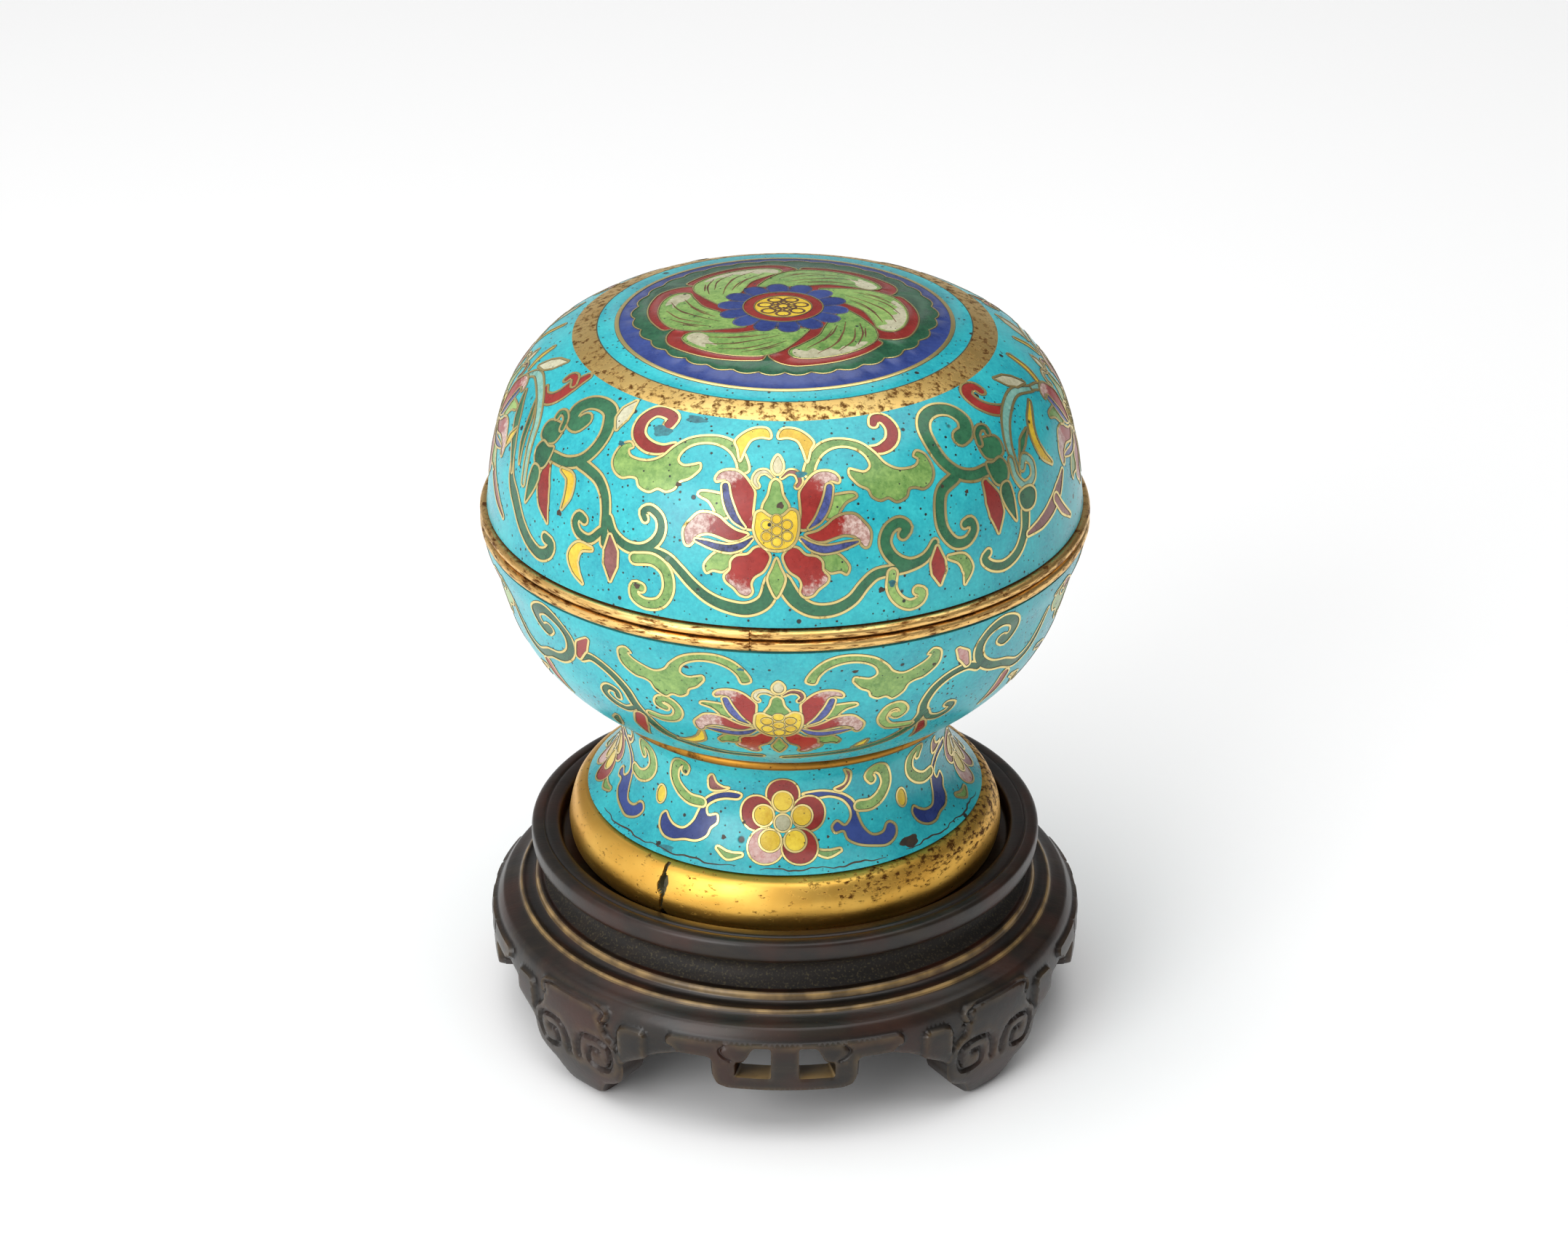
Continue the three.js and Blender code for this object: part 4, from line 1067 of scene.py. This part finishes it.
def makeFootRing():
    shape = ringShape

    def joint(turns, r, z):
        if r < 34:
            return np.full(len(turns), r)
        off = (turns - math.radians(shape["jointAzimuth"])) * r
        off = off + 0.12 * np.sin(z * 2.1) + 0.05 * np.sin(z * 6.3)
        cut = shape["jointDepth"] * np.clip(1.25 - (np.abs(off) / (shape["jointWidth"] / 2)) ** 3, 0, 1)
        for wide, tall, height, depth in (shape["pit"], shape["notch"]):
            reach = (2 * off / wide) ** 2 + (2 * (z - height) / tall) ** 2
            cut = np.maximum(cut, depth * np.clip(1.6 - 1.4 * reach, 0, 1))
        dents = 0.05 * np.sin(turns * 5 + z * 0.7) + 0.03 * np.sin(turns * 13 - z)
        return r - cut + dents - 0.04

    def finish(turn, r, z):
        return "dirt" if r >= 34 and r - joint(np.array([turn]), r, z)[0] > 0.3 else "ring"

    outline = [(shape["inside"], shape["top"]), *curveThrough(shape["profile"], 0.32),
               (34.0, shape["foot"]), (shape["inside"], shape["foot"])]
    makeRing(outline, finish, shape["jointAzimuth"], joint, "foot_ring_gilt", "foot_ring")


makeFootRing()
print("foot ring made")


# stand: a turned collar and cove over a pierced apron, carved alike on its four sides

standShape = {
    "top": [(0, 30.7), (37.3, 30.7), (37.75, 30.9), (37.95, 31.5), (38, 33), (38.25, 33.5), (38.7, 33.7),
        (40.35, 33.7), (40.55, 33.5), (40.7, 33.5), (40.9, 33.68), (42.2, 33.6), (42.75, 33.2), (42.9, 32.3),
        (42.85, 31.2), (42.6, 30.2), (41.8, 29.5), (40.6, 29.1), (39.6, 28.3), (39, 27.1), (39.15, 25.9),
        (39.9, 24.9), (41.2, 24.1), (41.5, 24.15), (42, 24.1), (42.4, 23.7), (42.55, 23), (43.2, 22.6),
        (44.2, 22.45), (44.5, 22.6), (44.95, 22.5), (45.3, 22), (46.2, 21.55), (47.2, 21.2), (47.9, 20.9)],
    "apron": [(47.9, 20.9), (48.75, 19.7), (49.3, 17.4), (49.3, 14.5), (49, 11.5), (48.2, 6.2), (47.3, 3.4),
        (46.3, 1.4), (45.3, 0.35), (44.4, 0)],
    "wallTop": 44.4,
    "wallFoot": 42.2,
    "underside": 18.3,
    "reference": 48.4,
    "relief": 0.75,
    "bevel": 0.55,
    "groove": 0.62,
    "rounding": 0.42,
    # turns, outer and inner reach of a foot's spiral
    "spiral": (1.35, 4.3, 1),
    # radii and heights between which dust lies in the cove and its wood is darkened as painted shade
    "cove": (38.8, 41.6, 24.2, 29.3),
}
# carving outlines in mm across from the middle of a side (or of a foot) and up from the ground; the
# arch goes by degrees across
dropHalf = [(0, 9.8), (9.3, 9.8), (11.2, 10.5), (11.95, 12.2), (11.95, 15.5), (15.5, 15.5), (17.6, 15.4),
    (18.3, 16.4), (19.5, 16.6), (19.7, 17.9), (18.8, 18.9), (0, 18.9)]
dropHook = [(9.6, 18.2), (10.4, 17.2), (9.4, 16), (8.6, 15.6)]
gapBelow = [(-11.9, -2), (11.9, -2), (11.9, 12.1), (11.2, 10.5), (9.3, 9.8), (-9.3, 9.8), (-11.2, 10.5),
    (-11.9, 12.1)]
bossOutline = [(-2.9, 10), (2.9, 10), (2.9, 16.4), (2.3, 17.6), (1.2, 18), (-1.9, 18), (-2.9, 17.2)]
bossAzimuth = 30.3
footHalf = [(0, -2), (4.4, -2), (4.9, 0.4), (6, 2.2), (7.2, 3.6), (9.4, 4.2), (10.8, 5.4), (11.3, 7.2),
    (10.9, 10.6), (9.4, 13.4), (7.4, 15), (6.7, 16.4), (7.9, 17.4), (8.1, 18.9), (7, 19.8), (0, 19.9)]
footHook = [(-7.2, 16.6), (-6.2, 17.2), (-6.9, 18.5), (-5.2, 19.2), (0, 19.35), (5.2, 19.2), (7, 18.6), (6.4, 17.2),
    (7.2, 16.6)]
windowHalf = [(2.2, 12.4), (8, 12.4), (8, 15.2), (6.7, 15.4), (6, 16.3), (5.5, 17.4), (4.9, 18), (2.2, 18)]
archHalf = [(13.8, -1), (13.95, 9.8), (14.2, 15), (14.9, 15.5), (20, 15.4), (24.5, 14.2), (28, 12.6),
    (31, 11.3), (32.6, 10.4), (32.7, 8), (33.6, 6), (35.6, 4.9), (38.2, 4), (39.6, 2.2), (40.8, 0.6),
    (41.6, -1)]


def mirroredHalf(half):
    return list(half) + [(-x, z) for x, z in half[::-1] if x > 0]


def fillet(outline, radius):
    # rounds each corner of a closed outline, then divides its long edges so that they follow the
    # round apron
    points = [np.array(p, float) for p in outline]
    out = []
    for before, here, after in zip(points[-1:] + points[:-1], points, points[1:] + points[:1]):
        a, b = before - here, after - here
        reach = min(radius, 0.45 * np.linalg.norm(a), 0.45 * np.linalg.norm(b))
        if reach < 1e-3:
            continue
        start, end = here + a / np.linalg.norm(a) * reach, here + b / np.linalg.norm(b) * reach
        for t in np.linspace(0, 1, 5):
            out.append((1 - t) ** 2 * start + 2 * t * (1 - t) * here + t * t * end)
    divided = []
    for a, b in zip(out, out[1:] + out[:1]):
        count = max(1, int(np.linalg.norm(b - a) / 0.9))
        divided.extend(a + (b - a) * k / count for k in range(count))
    return np.array(divided)


def spiralGroove(x, z, side):
    turns, outer, inner = standShape["spiral"]
    share = np.linspace(0, 1, 34)
    angle = math.pi * (1.12 - 2 * turns * share)
    reach = (outer + (inner - outer) * share) / np.maximum(np.abs(np.cos(angle)), np.abs(np.sin(angle))) ** 0.4
    return np.stack([x + side * reach * np.cos(angle), z + reach * np.sin(angle)], 1)


def distanceTo(starts, runs, points):
    # distance from each point to the nearest of the straight pieces
    best = np.full(len(points), 1e9)
    for start, run in zip(starts, runs):
        share = np.clip((points - start) @ run / max(run @ run, 1e-12), 0, 1)
        best = np.minimum(best, np.hypot(*(points - start - share[:, None] * run).T))
    return best


def depthInside(outline, points):
    # distance to the outline, positive inside it
    best = distanceTo(outline, np.roll(outline, -1, 0) - outline, points)
    return np.where(timesRound(counterClockwise(outline), points) > 0, best, -best)


def smoothStep(x, low, high):
    t = np.clip((x - low) / (high - low), 0, 1)
    return t * t * (3 - 2 * t)


def standCarving(quarter):
    # raised forms, sunk lines with their widths and openings of one side, in mm across and up
    def across(degrees):
        return degrees * standShape["reference"] * math.pi / 180

    arch = [(across(x), z) for x, z in archHalf] + [(20, -2)]
    raised, sunk, voids = [], [], []
    for side in (-1, 1):
        voids += [fillet(arch, 0.7) * (side, 1), fillet(windowHalf, 0.5) * (side, 1)]
        raised.append(fillet(bossOutline, 0.8) * (side, 1) + (across(side * bossAzimuth), 0))
    raised.append(fillet(mirroredHalf(dropHalf), 0.7))
    voids.append(fillet(gapBelow, 0.4))
    for at in (-quarter / 2, quarter / 2):
        raised.append(fillet(mirroredHalf(footHalf), 0.8) + (at, 0))
        for side in (-1, 1):
            sunk.append((spiralGroove(at + side * 5.3, 9.9, side), 1.25))
        sunk.append((curveThrough(np.array(footHook) + (at, 0), 0.5), 0.8))
    for side in (-1, 1):
        sunk.append((curveThrough([(side * x, z) for x, z in dropHook], 0.4), 0.7))
    return raised, sunk, voids


def carveDrawing(raised, sunk, voids):
    # the edges that the carving needs in the mesh
    shape = standShape
    drawing = newDrawing()
    ridges = drawing["ridges"]
    for outline in raised:
        ridges += [offsetOutline(drawing, counterClockwise(outline), -grow) for grow in (0, shape["bevel"])]
    for line, width in sunk:
        ring = bandOutline(drawing, line, (width * 0.7, width, width, width * 0.7))
        ridges += [ring, offsetOutline(drawing, counterClockwise(ring), -width * 0.36)]
    for outline in voids:
        ring = counterClockwise(outline)
        ridges.append(offsetOutline(drawing, ring, shape["rounding"]))
        drawing["faces"].append((ring, "void", None, 0.5))
    return drawing


def carveDepths(profile, points, raised, sunk, voids):
    # how far each point stands out, how rubbed it is, and how dark it is with dirt and painted shade
    shape = standShape
    lift, wear, dirt = np.zeros((3, len(points)))
    for outline in raised:
        d = depthInside(outline, points)
        lift = np.maximum(lift, shape["relief"] * smoothStep(d, -0.05, shape["bevel"]))
        wear = np.maximum(wear, 0.17 * (smoothStep(d, 0.1, 0.45) - smoothStep(d, 0.6, 1.5)))
        # a dark band round the foot of each raised form: dirt and painted shade in the crease
        dirt = np.maximum(dirt, 0.85 * (smoothStep(d, -0.7, -0.1) - smoothStep(d, -0.05, 0.3)))
    for line, width in sunk:
        best = distanceTo(line[:-1], np.diff(line, axis=0), points)
        groove = 1 - smoothStep(best, width * 0.14, width * 0.5)
        full = min(1, width / 1.25)
        lift -= shape["groove"] * groove * full
        wear = np.maximum(wear * (1 - groove), 0.14 * (smoothStep(best, width * 0.45, width * 0.7)
                                                     - smoothStep(best, width * 0.8, width * 1.7)))
        # dark in the grooves: dirt and painted shade
        dirt = np.maximum(dirt, 0.4 * full * groove)
    rounded = np.zeros(len(points))
    for outline in voids:
        rounded = np.maximum(rounded, 1 - smoothStep(-depthInside(outline, points), 0, shape["rounding"] * 1.6))
    lift -= 0.32 * rounded
    # the carving dies away towards the board above and the ground below
    lift *= smoothStep(points[:, 1], 0.0, 1.2) * smoothStep(profile["length"] - points[:, 1], 0, 2.4)
    return lift, np.maximum(wear, 0.13 * rounded), dirt


def makeStand():
    shape = standShape
    profile = makeProfile(shape["apron"], 0.3)
    reference = shape["reference"]
    quarter = math.pi / 2 * reference
    heights = profile["line"][:, 1]

    def flat(points):
        # height to distance down the apron
        v = np.interp(-points[:, 1], -heights, profile["run"])
        return np.stack([points[:, 0], v + np.maximum(-points[:, 1], 0)], 1)

    raised, sunk, voids = standCarving(quarter)
    carving = [flat(o) for o in raised], [(flat(line), width) for line, width in sunk], [flat(o) for o in voids]
    low = (-45 * math.pi / 180 * reference, 0)
    cut = cutDrawing(carveDrawing(*carving), low, (0, profile["length"]), quarter, 90, 0.8, "wood")
    points, tris = cut["verts"], cut["tris"][cut["names"] != "void"]
    lift, wear, dirt = carveDepths(profile, points, *carving)
    r, z, nr, nz = alongProfile(profile, points[:, 1])
    depth = np.clip(points[:, 1] / profile["length"], 0, 1)
    innerR = shape["wallTop"] + (shape["wallFoot"] - shape["wallTop"]) * depth
    innerZ = np.minimum(shape["underside"] * (1 - depth) + z.min() * depth, z)
    # the borders of the openings, as edges that only one triangle has and that lie on no seam
    edges = {}
    for tri in tris:
        for edge in zip(tri, np.roll(tri, -1)):
            key = (min(edge), max(edge))
            edges[key] = None if key in edges else edge
    x, v = points.T
    border = [e for e in edges.values() if e is not None and not (
        (np.abs(x[list(e)] - x.min()) < 1e-6).all() or (np.abs(x[list(e)] - x.max()) < 1e-6).all()
        or (v[list(e)] < 1e-6).all())]
    used = sorted({i for e in border for i in e})
    row = {vert: i for i, vert in enumerate(used)}
    count = len(used)
    walls = [[row[b], row[a], row[a] + count, row[b] + count] for a, b in border]
    # the sills of the two windows are painted pale tan
    bare = [[2.6 if abs(x[a]) < 8.2 and abs(x[b]) < 8.2 and 12.2 < z[a] < 12.9 else 0.0] * 4 for a, b in border]
    skin = newSkin()
    for k in range(4):
        turn = (x + k * quarter) / reference
        outer = wrapped(r, z, nr, nz, turn, lift)
        inner = wrapped(innerR, innerZ, 0, 0, turn, 0)
        addPatch(skin, outer, tris, "wood", wear[tris], dirt[tris])
        # the apron's inside is darkened a quarter of the way to near black, as painted shade
        addPatch(skin, inner, tris[:, ::-1], "wood", np.zeros((len(tris), 3)), np.full(len(tris), 0.25))
        addPatch(skin, np.concatenate([outer[used], inner[used]]), walls, "wood", bare, np.zeros(len(walls)))
    top = np.array(shape["top"])
    r0, r1, z0, z1 = shape["cove"]
    # the cove takes the dusty wood whose darker colours are painted shade
    addTurned(skin, [*top[:2], *curveThrough(top[1:], 0.35)[1:]],
              lambda turn, r, z: "coveWood" if r0 < r < r1 and z0 < z < z1 else "wood")
    addTurned(skin, [(shape["wallTop"], shape["underside"]), (0, shape["underside"])], "wood")
    return skin


def shadeStandTop(made):
    # the turned top's own wear on two edges; it is darker on the collar's inner flat and dark in its two grooves
    # with dirt and painted shade
    tone, tint = (made.data.attributes[label].data for label in ("tone", "tint"))

    def near(r, middle, width):
        return math.exp(-((r - middle) / width) ** 2)

    for polygon in made.data.polygons:
        x, y, z = polygon.center / mm
        r = math.hypot(x, y)
        if z > 20.95 or (z > 18.4 and r < 44):
            pale = max(near(r, 42.3, 0.24) * (23.0 < z < 24.6), near(r, 45.0, 0.24) * (21.8 < z < 23.0))
            # dark: the collar's inner flat, and dirt and painted shade in the two grooves
            dark = max(0.5 * (38.6 < r < 40.3) * (z > 33), 0.8 * near(r, 43.3, 0.5) * (z < 23),
                       0.6 * near(r, 40.62, 0.25) * (z > 33))
            for i in polygon.loop_indices:
                tone[i].value = pale * 1.25
                tint[i].value = dark


stand = buildSkin(makeStand(), "stand_wood")
shadeStandTop(stand)
place(stand, "stand")
print("stand made")


# the plain floor, soft studio light and the camera

studio = {
    "camera": (0, -0.6363, 0.3939),
    "aim": (0, 0, 0.069),
    "lens": 98.93,
    "shiftX": -0.0006,
    "floorColour": "#FAFAFA",
    "floorReach": 3,
    # light of the room at its left and right, and what multiplies it in front and behind
    "acrossRoom": (-0.95, 0.5, 0.85, 0.19),
    "throughRoom": (-0.4, 0.7, 1.25, 0.5),
    # place, aim, width, height and power of each soft lamp
    "lights": {
        "key": ((-0.55, -0.77, 0.44), (0, 0, 0.07), 0.55, 0.75, 5.7),
        "top": ((0.0, -0.08, 1.08), (0, 0, 0.05), 1.3, 1.3, 10.8),
        "back": ((0.1, 1.0, 0.24), (0, 0, 0), 1.2, 0.16, 0.3),
    },
}


def aimed(name, data, spot, aim):
    made = bpy.data.objects.new(name, data)
    made.location = spot
    made.rotation_euler = (Vector(aim) - Vector(spot)).to_track_quat("-Z", "Y").to_euler()
    bpy.context.scene.collection.objects.link(made)
    return made


def makeFloor():
    mesh = bpy.data.meshes.new("floor")
    far = studio["floorReach"]
    mesh.from_pydata([(-far, -far, 0), (far, -far, 0), (far, far, 0), (-far, far, 0)], [], [(0, 1, 2, 3)])
    floorPiece = bpy.data.objects.new("floor", mesh)
    bpy.context.scene.collection.objects.link(floorPiece)
    paper = newMaterial("white paper sweep")  # matt, with the faintest tooth
    tooth = addNode(paper, "TexNoise", None, {"Scale": 900.0})
    finishMaterial(paper, linear(studio["floorColour"]), 0.9, (tooth, "Fac"), 0.05, 0.1)
    mesh.materials.append(paper)


def makeStudio():
    scene = bpy.context.scene
    # a white room, darker on the right and behind
    world = bpy.data.worlds.new("studio")
    world.use_nodes = True
    room = addNode(world, "SeparateXYZ", None, {"Vector": (addNode(world, "TexCoord"), "Generated")})
    level = maths(world, "MULTIPLY", remap(world, (room, "X"), *studio["acrossRoom"], smooth=True),
                  remap(world, (room, "Y"), *studio["throughRoom"], smooth=True))
    background = world.node_tree.nodes["Background"]
    world.node_tree.links.new(level[0].outputs[0], background.inputs["Strength"])
    background.inputs["Color"].default_value = (1, 1, 1, 1)
    scene.world = world
    for name, (spot, aim, width, height, power) in studio["lights"].items():
        light = bpy.data.lights.new(name, "AREA")
        light.shape, light.size, light.size_y, light.energy = "RECTANGLE", width, height, power
        aimed(name, light, spot, aim)
    lens = bpy.data.cameras.new("camera")
    lens.lens, lens.sensor_width, lens.shift_x = studio["lens"], 36, studio["shiftX"]
    scene.camera = aimed("camera", lens, studio["camera"], studio["aim"])
    scene.view_settings.view_transform = "Standard"


makeFloor()
makeStudio()
print("studio made")
